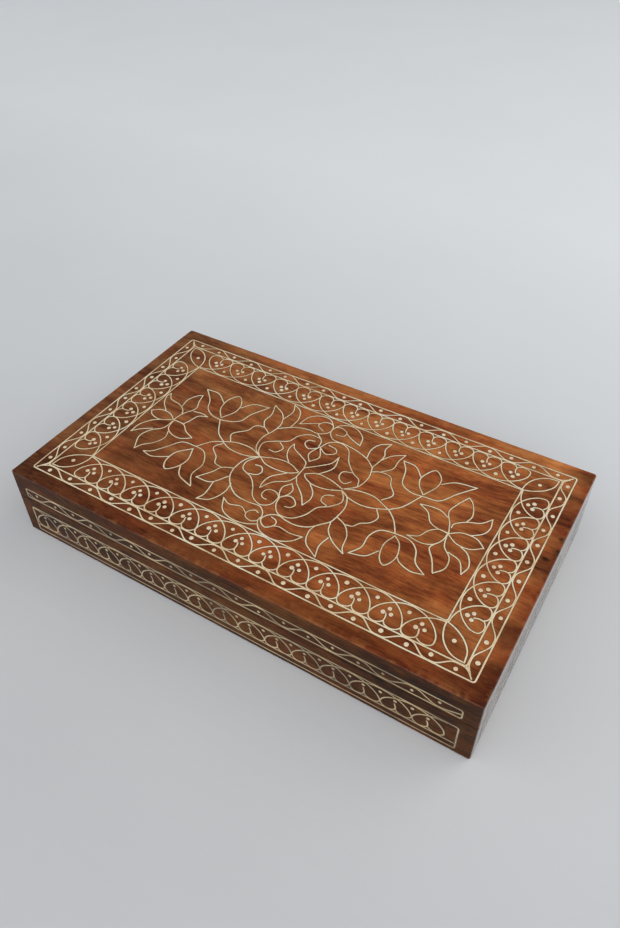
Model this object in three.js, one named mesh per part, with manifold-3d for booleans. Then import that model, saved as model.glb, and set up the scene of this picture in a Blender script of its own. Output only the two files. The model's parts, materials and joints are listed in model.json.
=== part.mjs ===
// A shallow hardwood keepsake box with a hinged lid, inlaid with brass wire.
//
// Millimetres, +Z up. X runs along the box, the front long side faces -Y and the hinges are on +Y.
// The origin is the centre of the wooden case on the surface it stands on.

import * as THREE from 'three';
import { mergeVertices } from 'three/addons/utils/BufferGeometryUtils.js';
import Module from 'manifold-3d';

const wasm = await Module();
wasm.setup();

// Driving dimensions.
const LENGTH = 305;
const DEPTH = 178;
const HEIGHT = 51;
const SEAM_HEIGHT = 31;
const SEAM_GAP = 0.3;
const WALL = 8;
const LID_BOARD = 7;
const BASE_BOARD = 4;
const FELT = 1;
const FELT_MARGIN = 0.5;

// Rounding of the outside: the upright corners, the lid's top arris and the case's bottom arris.
const CORNER_RADIUS = 1.5;
const TOP_ARRIS = 0.6;
const BOTTOM_ARRIS = 1.4;
const ROUNDING_STEPS = 2;

// The inlay wire: a flat strip that stands a little proud of the wood.
const WIRE_WIDTH = 0.9;
const WIRE_PROUD = 0.2;
const CLEARANCE = 0.3;
const WIRE_SPACING = WIRE_WIDTH + CLEARANCE;

// Hinges.
const HINGE_OFFSET = 95;
const HINGE_WIDTH = 30;
const LEAF_DEPTH = 6.8;
const LEAF_THICKNESS = 0.9;
const BARREL_RADIUS = 2.2;
const BARREL_GAP = 0.2;
const PIN_RADIUS = 0.9;
const PIN_CLEARANCE = 0.08;
const PIN_END = 0.4;
const BARREL_STANDOFF = BARREL_RADIUS + BARREL_GAP;
const BARREL_SEGMENTS = 12;
const SCREW_OFFSET = 9;
const SCREW_INSET = 4;
const SCREW_HEAD_RADIUS = 1.9;
const SCREW_SHANK_RADIUS = 1;
const SCREW_LENGTH = 7;
const SCREW_POINT = 1;
const SCREW_SEGMENTS = 8;
const SCREW_CLEARANCE = 0.15;

// Derived: the wooden body inside the proud wire, and its faces.
const HALF_LENGTH = LENGTH / 2 - WIRE_PROUD;
const HALF_DEPTH = DEPTH / 2 - WIRE_PROUD;
const TOP = HEIGHT - WIRE_PROUD;
const CASE_TOP = SEAM_HEIGHT - SEAM_GAP / 2;
const LID_BOTTOM = SEAM_HEIGHT + SEAM_GAP / 2;
const BOARD_BOTTOM = TOP - LID_BOARD;
const INNER_LENGTH = HALF_LENGTH - WALL;
const INNER_DEPTH = HALF_DEPTH - WALL;

const MATERIALS = {
  wood: { color: 0x6e3a20, roughness: 0.35, metalness: 0 },
  sideWood: { color: 0x4f3226, roughness: 0.4, metalness: 0 },
  brass: { color: 0xdfc493, roughness: 0.35, metalness: 0.9 },
  hingeBrass: { color: 0xb08d4a, roughness: 0.4, metalness: 1 },
  felt: { color: 0x5c1420, roughness: 1, metalness: 0 },
};

const box = new THREE.Group();
box.name = 'inlaid_wooden_box';

// ---------------------------------------------------------------- solids

/** Turns a closed three.js geometry into a manifold solid. */
function solid(geometry) {
  geometry.deleteAttribute('uv');
  geometry.deleteAttribute('normal');
  const welded = mergeVertices(geometry, 1e-4);
  return new wasm.Manifold(new wasm.Mesh({
    numProp: 3,
    vertProperties: new Float32Array(welded.attributes.position.array),
    triVerts: new Uint32Array(welded.index.array),
  }));
}

/** The three.js geometry of a manifold solid. */
function meshGeometry(shape) {
  const { vertProperties, triVerts } = shape.getMesh();
  const geometry = new THREE.BufferGeometry();
  geometry.setAttribute('position', new THREE.BufferAttribute(new Float32Array(vertProperties), 3));
  geometry.setIndex(new THREE.BufferAttribute(new Uint32Array(triVerts), 1));
  return geometry;
}

/** Makes a named mesh of a solid, with a material of its own, and adds it to a group. */
function place(name, shape, material, group = box) {
  const geometry = meshGeometry(shape);
  geometry.computeVertexNormals();
  const mesh = new THREE.Mesh(geometry, new THREE.MeshStandardMaterial(MATERIALS[material]));
  mesh.name = name;
  group.add(mesh);
  return mesh;
}

function union(shapes) {
  return shapes.reduce((joined, shape) => joined.add(shape));
}

function cuboid([x0, x1], [y0, y1], [z0, z1]) {
  const geometry = new THREE.BoxGeometry(x1 - x0, y1 - y0, z1 - z0);
  geometry.translate((x0 + x1) / 2, (y0 + y1) / 2, (z0 + z1) / 2);
  return solid(geometry);
}

/** An outline given as [x, y] pairs, raised from one height to another. */
function prism(outline, [z0, z1]) {
  const shape = new THREE.Shape(outline.map(([x, y]) => new THREE.Vector2(x, y)));
  const geometry = new THREE.ExtrudeGeometry(shape, { depth: z1 - z0, bevelEnabled: false });
  geometry.translate(0, 0, z0);
  return solid(geometry);
}

/** A cylinder along the X axis. */
function rod(radius, [x0, x1]) {
  const geometry = new THREE.CylinderGeometry(radius, radius, x1 - x0, BARREL_SEGMENTS);
  geometry.rotateZ(Math.PI / 2);
  geometry.translate((x0 + x1) / 2, 0, 0);
  return solid(geometry);
}

/** The body's outside, with rounded upright corners and rounded top and bottom arrises. */
function roundedBlock([z0, z1], arris) {
  const [x, y, r] = [HALF_LENGTH, HALF_DEPTH, CORNER_RADIUS];
  const plan = new THREE.Shape();
  plan.absarc(x - r, y - r, r, 0, Math.PI / 2);
  plan.absarc(-x + r, y - r, r, Math.PI / 2, Math.PI);
  plan.absarc(-x + r, -y + r, r, Math.PI, Math.PI * 1.5);
  plan.absarc(x - r, -y + r, r, Math.PI * 1.5, Math.PI * 2);
  plan.closePath();
  const geometry = new THREE.ExtrudeGeometry(plan, {
    depth: z1 - z0 - 2 * arris,
    curveSegments: ROUNDING_STEPS,
    bevelThickness: arris,
    bevelSize: arris,
    bevelOffset: -arris,
    bevelSegments: ROUNDING_STEPS,
  });
  geometry.translate(0, 0, z0 + arris);
  return solid(geometry);
}

// ---------------------------------------------------------------- wooden carcass

const SIDES = ['front', 'right', 'back', 'left'];

/** One of four boards that meet at mitred corners, before its outside is rounded. */
function mitredBoard(side, heights) {
  const along = side === 'front' || side === 'back';
  const [outer, inner] = along ? [HALF_LENGTH, INNER_LENGTH] : [HALF_DEPTH, INNER_DEPTH];
  const [far, near] = along ? [HALF_DEPTH, INNER_DEPTH] : [HALF_LENGTH, INNER_LENGTH];
  const turn = { front: ([u, v]) => [u, -v], back: ([u, v]) => [-u, v],
    right: ([u, v]) => [v, u], left: ([u, v]) => [-v, -u] }[side];
  return prism([[-inner, near], [inner, near], [outer, far], [-outer, far]].map(turn), heights);
}

function buildCarcass() {
  const caseOutside = roundedBlock([0, HEIGHT], BOTTOM_ARRIS);
  const lidOutside = roundedBlock([0, TOP], TOP_ARRIS);
  for (const side of SIDES) {
    let wall = mitredBoard(side, [0, CASE_TOP]).intersect(caseOutside);
    let rail = mitredBoard(side, [LID_BOTTOM, BOARD_BOTTOM]).intersect(lidOutside);
    if (side === 'back') {
      for (const x of [-HINGE_OFFSET, HINGE_OFFSET]) {
        wall = wall.subtract(hingeRecess(x, -1));
        rail = rail.subtract(hingeRecess(x, 1));
      }
    }
    place(`case_wall_${side}`, wall, 'sideWood');
    place(`lid_rail_${side}`, rail, 'sideWood');
  }
  const everywhere = [[-LENGTH, LENGTH], [-DEPTH, DEPTH]];
  place('lid_board', cuboid(...everywhere, [BOARD_BOTTOM, HEIGHT]).intersect(lidOutside), 'wood');
  const inside = [[-INNER_LENGTH, INNER_LENGTH], [-INNER_DEPTH, INNER_DEPTH]];
  place('base_board', cuboid(...inside, [0, BASE_BOARD]), 'wood');
}

function buildLinings() {
  const x = INNER_LENGTH - FELT_MARGIN;
  const y = INNER_DEPTH - FELT_MARGIN;
  place('base_lining', cuboid([-x, x], [-y, y], [BASE_BOARD, BASE_BOARD + FELT]), 'felt');
  place('lid_lining', cuboid([-x, x], [-y, y], [BOARD_BOTTOM - FELT, BOARD_BOTTOM]), 'felt');
}

// ---------------------------------------------------------------- hinges

// A hinge is made about its own origin, the middle of its pin. `up` is 1 for the half on the lid and
// -1 for the half on the case.
const KNUCKLE = HINGE_WIDTH / 3;
const LEAF_EDGE = HINGE_WIDTH / 2;
const SCREW_SPOTS = [-SCREW_OFFSET, SCREW_OFFSET].map((x) => [x, -BARREL_STANDOFF - SCREW_INSET]);

/** The heights of a leaf's lower and upper faces. */
function leafHeights(up) {
  const [near, far] = [up * SEAM_GAP / 2, up * (SEAM_GAP / 2 + LEAF_THICKNESS)];
  return up > 0 ? [near, far] : [far, near];
}

/** A countersunk screw with its flat head at z = 0 and its point below. */
function screwGeometry(grow = 0) {
  const head = SCREW_HEAD_RADIUS + grow;
  const shank = SCREW_SHANK_RADIUS + grow;
  const profile = [[0, -SCREW_LENGTH - grow], [shank, SCREW_POINT - SCREW_LENGTH], [shank, -LEAF_THICKNESS],
    [head, 0], [0, 0]].map(([r, z]) => new THREE.Vector2(r, z));
  const geometry = new THREE.LatheGeometry(profile, SCREW_SEGMENTS);
  geometry.rotateX(Math.PI / 2);
  return geometry;
}

/** The holes that a hinge's two screws need on one side of the seam. */
function screwHoles(up, grow) {
  return union(SCREW_SPOTS.map(([x, y]) => {
    const geometry = screwGeometry(grow);
    if (up > 0) geometry.rotateX(Math.PI);
    geometry.translate(x, y, up * SEAM_GAP / 2);
    return solid(geometry);
  }));
}

/** The pocket and screw holes cut in the back board for one hinge. */
function hingeRecess(x, up) {
  const [low, high] = leafHeights(up);
  const half = LEAF_EDGE + CLEARANCE;
  const pocket = cuboid([-half, half], [-BARREL_STANDOFF - LEAF_DEPTH - CLEARANCE, 1],
    up > 0 ? [0, high] : [low, 0]);
  const geometry = meshGeometry(pocket.add(screwHoles(up, CLEARANCE)));
  geometry.translate(x, HALF_DEPTH + BARREL_STANDOFF, SEAM_HEIGHT);
  return solid(geometry);
}

/** One leaf: a plate with its knuckles, bored for the pin and countersunk for its screws. */
function hingeLeaf(up, knuckles) {
  const heights = leafHeights(up);
  const plateBack = -BARREL_STANDOFF - LEAF_DEPTH;
  let leaf = cuboid([-LEAF_EDGE, LEAF_EDGE], [plateBack, -BARREL_STANDOFF], heights);
  for (const span of knuckles) {
    leaf = leaf.add(cuboid(span, [-BARREL_STANDOFF - 1, 0], heights)).add(rod(BARREL_RADIUS, span));
  }
  const bore = rod(PIN_RADIUS + PIN_CLEARANCE, [-HINGE_WIDTH, HINGE_WIDTH]);
  return leaf.subtract(bore).subtract(screwHoles(up, SCREW_CLEARANCE));
}

function buildHinge(name, x) {
  const hinge = new THREE.Group();
  hinge.position.set(x, HALF_DEPTH + BARREL_STANDOFF, SEAM_HEIGHT);
  box.add(hinge);
  const gap = CLEARANCE / 2;
  const endKnuckles = [[-LEAF_EDGE, -KNUCKLE / 2 - gap], [KNUCKLE / 2 + gap, LEAF_EDGE]];
  const middleKnuckle = [[-KNUCKLE / 2 + gap, KNUCKLE / 2 - gap]];
  place(`hinge_${name}_case_leaf`, hingeLeaf(-1, endKnuckles), 'hingeBrass', hinge);
  place(`hinge_${name}_lid_leaf`, hingeLeaf(1, middleKnuckle), 'hingeBrass', hinge);
  const pin = rod(PIN_RADIUS, [-LEAF_EDGE - PIN_END, LEAF_EDGE + PIN_END]);
  place(`hinge_${name}_pin`, pin, 'hingeBrass', hinge);
  for (const [part, up] of [['case', -1], ['lid', 1]]) {
    SCREW_SPOTS.forEach(([across, inward], i) => {
      const screwName = `hinge_${name}_${part}_screw_${i + 1}`;
      const screw = place(screwName, solid(screwGeometry()), 'hingeBrass', hinge);
      screw.position.set(across, inward, up * SEAM_GAP / 2);
      if (up > 0) screw.rotation.x = Math.PI;
    });
  }
}

// ---------------------------------------------------------------- inlay wire

/** The path moved sideways by a distance, to its left where the distance is positive. */
function offsetPath(path, distance, closed) {
  const count = path.length;
  return path.map(([x, y], i) => {
    const before = path[closed ? (i + count - 1) % count : Math.max(i - 1, 0)];
    const after = path[closed ? (i + 1) % count : Math.min(i + 1, count - 1)];
    const inward = new THREE.Vector2(x - before[0], y - before[1]).normalize();
    const outward = new THREE.Vector2(after[0] - x, after[1] - y).normalize();
    const along = inward.clone().add(outward).normalize();
    const reach = distance / Math.max(along.dot(outward.length() ? outward : inward), 0.5);
    return [x - along.y * reach, y + along.x * reach];
  });
}

/** A flat wire along a path, its underside at z = 0. */
function wire(path, closed = false) {
  const left = offsetPath(path, WIRE_WIDTH / 2, closed);
  const right = offsetPath(path, -WIRE_WIDTH / 2, closed);
  if (!closed) return prism([...left, ...right.reverse()], [0, WIRE_PROUD]);
  const area = (loop) => Math.abs(THREE.ShapeUtils.area(loop.map(([x, y]) => ({ x, y }))));
  const [outer, inner] = area(left) > area(right) ? [left, right] : [right, left];
  return prism(outer, [0, WIRE_PROUD]).subtract(prism(inner, [-1, 1]));
}

function rectangle(x, y) {
  return [[-x, -y], [x, -y], [x, y], [-x, y]];
}

const mirrorX = (path) => path.map(([x, y]) => [-x, y]);
const mirrorY = (path) => path.map(([x, y]) => [x, -y]);
const shiftX = (path, distance) => path.map(([x, y]) => [x + distance, y]);

/** Adds joined wires to the lid's top as one named piece, turned and moved across it. */
function placeOnTop(name, wires, [x, y] = [0, 0], turn = 0) {
  const mesh = place(name, union(wires), 'brass');
  mesh.rotation.z = turn;
  mesh.position.set(x, y, TOP);
}

// How many half waves and hearts fill a stretch of the inlay, and the width of one heart.
const TOP_LONG = { halfWaves: 19, hearts: 13, pitch: 18.2 };
const TOP_SHORT = { halfWaves: 11, hearts: 6, pitch: 17.6 };
const SIDE_LONG = { halfWaves: 19, hearts: 16, pitch: 17.5 };
const SIDE_SHORT = { halfWaves: 11, hearts: 9, pitch: 17.2 };

// Where a half wave's crest starts and ends, as shares of its length.
const CREST_ENDS = [0.28, 0.72];

// The height of a heart's feet above the line it stands on, its lobes' dip and its stem's height.
const LOBE_DIP = 1.8;
const HEART_FOOT = WIRE_SPACING + LOBE_DIP;
const STEM_HEIGHT = 5.5;
const LOBE_JOIN = 0.8;

// Half sizes of the three frame lines on the top, measured to the wire's middle.
const OUTER_LINE = [143.3, 79];
const SECOND_LINE = [136.6, 72.7];
const INNER_LINE = [118.3, 53.5];

function buildFrameLines() {
  placeOnTop('inlay_outer_line', [wire(rectangle(...OUTER_LINE), true)]);
  placeOnTop('inlay_second_line', [wire(rectangle(...SECOND_LINE), true)]);
  placeOnTop('inlay_inner_line', [wire(rectangle(...INNER_LINE), true)]);
}

/** A wavy path of whole half waves from -half to half, each with a flat crest between two points. */
function wavyPath(half, halfWaves, height) {
  const step = 2 * half / halfWaves;
  const crests = Array.from({ length: halfWaves }, (_, i) => CREST_ENDS.map((phase) => (
    [-half + (i + phase) * step, i % 2 ? height : -height])));
  return [[-half, 0], ...crests.flat(), [half, 0]];
}

/** The wave between the outer and second lines, joined at each corner by a short diagonal stem. */
function buildTopWave() {
  const [middleX, middleY] = [0, 1].map((i) => (OUTER_LINE[i] + SECOND_LINE[i]) / 2);
  const height = (OUTER_LINE[1] - SECOND_LINE[1]) / 2 - WIRE_SPACING;
  const long = wavyPath(middleX, TOP_LONG.halfWaves, height);
  const short = wavyPath(middleY, TOP_SHORT.halfWaves, height);
  const paths = [
    long.map(([u, v]) => [u, -middleY + v]),
    long.map(([u, v]) => [-u, middleY - v]),
    short.map(([u, v]) => [middleX - v, u]),
    short.map(([u, v]) => [-middleX + v, -u]),
  ];
  for (const [sx, sy] of rectangle(1, 1)) {
    paths.push([[-1, SECOND_LINE], [1, OUTER_LINE]].map(([side, [x, y]]) => (
      [sx * (x - side * WIRE_SPACING), sy * (y - side * WIRE_SPACING)])));
  }
  placeOnTop('inlay_wave', paths.map((path) => wire(path)));
}

/**
 * A row of hearts between two frame lines. u runs along the row and v from the line it stands on, at
 * 0, towards the other. Arches two hearts wide cross at each heart's point, and each heart has two
 * lobes at the arches' feet and a stem between them.
 */
function heartArcade({ hearts, pitch }, rise) {
  const height = rise - WIRE_SPACING - HEART_FOOT;
  const quarterArch = [[0, 1], [0.45, 0.88], [0.88, 0.4], [1, 0]];
  const lobe = [[0.5, 0], [0.3, -LOBE_DIP], [0, LOBE_JOIN]];
  const wires = [];
  for (let i = 0; i <= hearts; i += 1) {
    const middle = (i - hearts / 2) * pitch;
    const [left, right] = [-1, 1].map((sign) => quarterArch.map(([u, v]) => (
      [middle + sign * u * pitch, HEART_FOOT + v * height])));
    if (i === 0) wires.push(wire(right));
    else if (i === hearts) wires.push(wire(left));
    else wires.push(wire([...left.reverse(), ...right.slice(1)]));
  }
  for (let i = 0; i < hearts; i += 1) {
    const centre = (i + 0.5 - hearts / 2) * pitch;
    const [left, right] = [-1, 1].map((sign) => lobe.map(([u, v]) => (
      [centre + sign * u * pitch, HEART_FOOT + v])));
    wires.push(wire([...left, [centre, HEART_FOOT + STEM_HEIGHT]]), wire(right));
  }
  return wires;
}

function buildArcades() {
  const [x, y] = SECOND_LINE;
  const long = heartArcade(TOP_LONG, y - INNER_LINE[1]);
  const short = heartArcade(TOP_SHORT, x - INNER_LINE[0]);
  placeOnTop('inlay_arcade_front', long, [0, -y], 0);
  placeOnTop('inlay_arcade_back', long, [0, y], Math.PI);
  placeOnTop('inlay_arcade_right', short, [x, 0], Math.PI / 2);
  placeOnTop('inlay_arcade_left', short, [-x, 0], -Math.PI / 2);
}

/** A pointed leaf from each corner of the inner line to the same corner of the second line. */
function buildCornerLeaves() {
  const inset = 1.6;
  const swell = 3.8;
  const root = new THREE.Vector2(...INNER_LINE).addScalar(inset);
  const tip = new THREE.Vector2(...SECOND_LINE).subScalar(inset);
  const reach = tip.clone().sub(root);
  const across = new THREE.Vector2(-reach.y, reach.x).normalize().multiplyScalar(swell);
  const edge = (side) => [[0, 0], [0.2, 0.65], [0.5, 1], [0.8, 0.65], [1, 0]].map(([t, bulge]) => (
    root.clone().addScaledVector(reach, t).addScaledVector(across, side * bulge).toArray()));
  const leaf = [edge(1), edge(-1)];
  const corners = { back_right: leaf, back_left: leaf.map(mirrorX), front_right: leaf.map(mirrorY),
    front_left: leaf.map(mirrorX).map(mirrorY) };
  for (const [corner, edges] of Object.entries(corners)) {
    placeOnTop(`inlay_leaf_${corner}`, edges.map((path) => wire(path)));
  }
}

// The medallion's wires in its right back quarter. The other three quarters mirror it.
const MEDALLION_QUARTER = [
  // The chain of pointed ovals along the middle, and the short bar across it.
  [[0, 0], [5, 3.4], [14.5, 5], [21, 4], [28.6, 0]],
  [[28.6, 0], [36, 4.2], [48, 4.6], [58, 0]],
  [[0, -1], [0, 5.5]],
  // The curved petal beside the middle.
  [[0, 5], [2.3, 9.4], [12, 18.6], [14.5, 23]],
  [[9.1, 4.6], [15, 12.2], [14.5, 23]],
  // The drop above the petal and the spiral that springs from it.
  [[0, 11], [3, 14.8], [0, 24.5]],
  [[0, 24.5], [4.5, 20.7], [10.4, 23.6], [9.5, 28], [6.4, 28.9]],
  // The long S from the drop to the chain, and its inner spiral.
  [[0, 24.5], [1.1, 30.3], [7, 35.3], [14.5, 34.3], [19.5, 29], [22, 21], [26.4, 16]],
  [[26.4, 16], [32.2, 11.8], [28.6, 0]],
  [[26.4, 16], [21.6, 13.5], [22, 8.8], [26.4, 7.1]],
  // The great ring, and the curl it ends in.
  [[28.6, 0], [34.5, 5], [36.6, 14], [35, 25.3], [29.1, 32.5], [20, 37.2], [6.8, 36.2], [1, 40], [0, 43.5]],
  [[0, 43.5], [3, 47.4], [8.4, 46.2], [8.6, 41.6], [4.5, 39.6]],
  [[9, 44], [27.3, 43.5]],
  [[0, 45], [5, 50.3], [19, 50.6], [27.3, 43.5]],
  // Two leaves outside the ring.
  [[35, 25.3], [38, 33], [52.3, 42.4]],
  [[36, 20.7], [45.5, 25.6], [52.3, 42.4]],
  [[28.9, 33], [29.4, 43], [40.3, 51]],
  [[40, 35], [38.4, 43.9], [40.3, 51]],
  // The wavy edge beside the chain's last oval.
  [[52.5, 3], [56.4, 9.4], [54.3, 15], [48.8, 19.5], [43.5, 25]],
  // The stem and the three petals of the tulip.
  [[58, 0], [66, 7.6], [70.3, 15.8]],
  [[54.5, 41], [58.4, 32], [58.8, 21.5], [65, 16.2], [75.5, 15.4], [84, 18.6], [88, 28], [95.9, 37]],
  [[95.9, 37], [86, 37], [77.8, 29.5]],
  [[54.5, 41], [64, 37.5], [68.3, 29.5]],
  [[70.3, 15.8], [68.1, 26], [70, 34.5], [74.5, 38.6], [78, 31], [76.5, 22.5], [70.3, 15.8]],
];

function buildMedallion() {
  const half = [...MEDALLION_QUARTER, ...MEDALLION_QUARTER.map(mirrorX)];
  placeOnTop('inlay_medallion', [...half, ...half.map(mirrorY)].map((path) => wire(path)));
}

// One star flower's petals as pairs of edges, about the flower's heart.
const STAR_PETALS = [
  [[0, 0], [5, 4], [15, 4.6], [21, 0]], [[0, 0], [5, -4], [15, -4.6], [21, 0]],
  [[11, 4.6], [18.3, 12], [17.5, 22.5]], [[0, 5.5], [2.5, 11.6], [11, 15.5], [17.5, 22.5]],
  [[5, 12.8], [6.9, 20.5], [0, 31.5]], [[0, 4.5], [-5.5, 12], [-5.5, 20], [0, 31.5]],
  [[-5, 11.4], [-12, 14.3], [-22, 12.7]], [[0, 0.5], [-9, 0.5], [-14.5, 5.9], [-22, 12.7]],
  [[-4, -11], [-10, -12.2], [-18.5, -11]], [[0, 0.5], [-8, 0], [-12, -7], [-18.5, -11]],
  [[0, -6], [-4, -11.5], [0, -21.2], [4.3, -29.8]], [[0, -6], [7.7, -15.7], [8.6, -23.5], [4.3, -29.8]],
  [[5.5, -12.5], [13.2, -14.8], [17.6, -22.8]], [[11, -4.6], [18.2, -12], [17.6, -22.8]],
  [[0, -6.5], [0, 6]],
];
const STAR_OFFSET = 95.5;

function buildStars() {
  for (const [side, petals] of [['right', STAR_PETALS], ['left', STAR_PETALS.map(mirrorX)]]) {
    const centre = side === 'right' ? STAR_OFFSET : -STAR_OFFSET;
    placeOnTop(`inlay_star_${side}`, petals.map((path) => wire(shiftX(path, centre))));
  }
}

// Bands on the sides: heights of their straight lines, measured to the wire's middle. The hearts on
// the case stand on a ground line inside their band.
const BANDS = { lid: [33.3, 40.2], case: [4, 24] };
const GROUND_LINE = 8.5;
const BAND_END = 9;

/** A row of hearts on its ground line, joined to it by a short upright at each end. */
function groundedHearts(row, half, rise) {
  const reach = half - WIRE_SPACING;
  const end = row.hearts * row.pitch / 2;
  const uprights = [-end, end].map((x) => wire([[x, 0], [x, HEART_FOOT]]));
  return [wire([[-reach, 0], [reach, 0]]), ...uprights, ...heartArcade(row, rise)];
}

/** The inlay on each side of the box: a framed wave on the lid and framed hearts on the case. */
function buildSideBands() {
  SIDES.forEach((side, turns) => {
    const long = side === 'front' || side === 'back';
    const row = long ? SIDE_LONG : SIDE_SHORT;
    const half = (long ? HALF_LENGTH : HALF_DEPTH) - BAND_END;
    const face = new THREE.Group();
    face.rotation.z = turns * Math.PI / 2;
    box.add(face);
    const placeOnSide = (name, wires, height) => {
      const mesh = place(`inlay_${name}_${side}`, union(wires), 'brass', face);
      mesh.rotation.x = Math.PI / 2;
      mesh.position.set(0, -(long ? HALF_DEPTH : HALF_LENGTH), height);
    };
    for (const [part, [low, high]] of Object.entries(BANDS)) {
      const line = wire(rectangle(half, (high - low) / 2), true);
      placeOnSide(`${part}_line`, [line], (low + high) / 2);
    }
    const [low, high] = BANDS.lid;
    const wave = wavyPath(half - WIRE_SPACING, row.halfWaves, (high - low) / 2 - WIRE_SPACING);
    placeOnSide('lid_wave', [wire(wave)], (low + high) / 2);
    placeOnSide('case_hearts', groundedHearts(row, half, BANDS.case[1] - GROUND_LINE), GROUND_LINE);
  });
}

// ---------------------------------------------------------------- assembly

buildCarcass();
buildLinings();
buildHinge('left', -HINGE_OFFSET);
buildHinge('right', HINGE_OFFSET);
buildFrameLines();
buildTopWave();
buildArcades();
buildCornerLeaves();
buildMedallion();
buildStars();
buildSideBands();

export default box;
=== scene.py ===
"""A shallow hardwood box inlaid with brass wire: its looks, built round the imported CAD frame.

The frame is in metres. X runs along the box, the front faces -Y and the hinges are on +Y. Inlay is
drawn flat in millimetres, from the middle of the lid, or from the middle of a side's foot, and is
then laid on that surface.
"""
import json
import math
import random

import bmesh
import bpy
import numpy as np
from mathutils import Matrix, Vector, noise


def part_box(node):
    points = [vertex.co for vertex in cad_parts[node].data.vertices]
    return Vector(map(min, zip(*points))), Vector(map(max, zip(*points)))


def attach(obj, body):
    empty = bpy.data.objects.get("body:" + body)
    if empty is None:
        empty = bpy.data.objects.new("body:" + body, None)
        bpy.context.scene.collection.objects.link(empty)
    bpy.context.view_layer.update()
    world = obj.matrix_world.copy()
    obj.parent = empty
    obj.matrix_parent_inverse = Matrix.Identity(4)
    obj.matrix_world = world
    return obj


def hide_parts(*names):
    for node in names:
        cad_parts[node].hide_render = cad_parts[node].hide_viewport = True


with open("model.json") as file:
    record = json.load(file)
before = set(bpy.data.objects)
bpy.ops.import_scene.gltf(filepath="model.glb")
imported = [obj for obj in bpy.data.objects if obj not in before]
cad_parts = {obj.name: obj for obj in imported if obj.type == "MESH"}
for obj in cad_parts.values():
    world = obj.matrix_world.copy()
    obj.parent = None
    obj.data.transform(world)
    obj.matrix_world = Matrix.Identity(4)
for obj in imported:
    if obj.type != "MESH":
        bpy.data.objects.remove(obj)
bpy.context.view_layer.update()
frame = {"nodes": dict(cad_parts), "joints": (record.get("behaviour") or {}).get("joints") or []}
MM = 0.001
random.seed(17)

# ---------------- sizes, read from the frame (mm)


def node_box(node):
    """Lowest and highest corners of a CAD node, in millimetres."""
    return [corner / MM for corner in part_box(node)]


BOARD_LOW, BOARD_HIGH = node_box("lid_board")
HALF_LENGTH, HALF_DEPTH, TOP = BOARD_HIGH
BOARD_BOTTOM = BOARD_LOW.z
RAIL_LOW, RAIL_HIGH = node_box("lid_rail_front")
LID_BOTTOM = RAIL_LOW.z
CASE_TOP = node_box("case_wall_front")[1].z
WALL = RAIL_HIGH.y - RAIL_LOW.y

SIDES = ["front", "right", "back", "left"]


def by_length(side, long, short):
    """The first value for the long sides, front and back, and the second for the other two."""
    return long if side in ("front", "back") else short


CORNER_RADIUS = 1.5
TOP_ARRIS = 0.6
BOTTOM_ARRIS = 1.4
SEAM_ARRIS = 0.35

# The real wire is filed almost flush, so it stands up less than the CAD wire, which is a stand-in.
WIRE_PROUD = 0.3 * (node_box("inlay_outer_line")[1].z - TOP)


def wire_width():
    """A frame line is one width all round: the step between the two edges of its left side."""
    corners = frame["nodes"]["inlay_outer_line"].data.vertices
    edges = sorted({round(corner.co.x / MM, 2) for corner in corners})
    return edges[1] - edges[0]


WIRE_WIDTH = wire_width()


def line_half_sizes(node):
    """Half sizes, to the wire's middle, of a rectangular line that lies on the lid."""
    high = node_box(node)[1]
    return high.x - WIRE_WIDTH / 2, high.y - WIRE_WIDTH / 2


OUTER_LINE = line_half_sizes("inlay_outer_line")
SECOND_LINE = line_half_sizes("inlay_second_line")
INNER_LINE = line_half_sizes("inlay_inner_line")

# ---------------- materials


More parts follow.
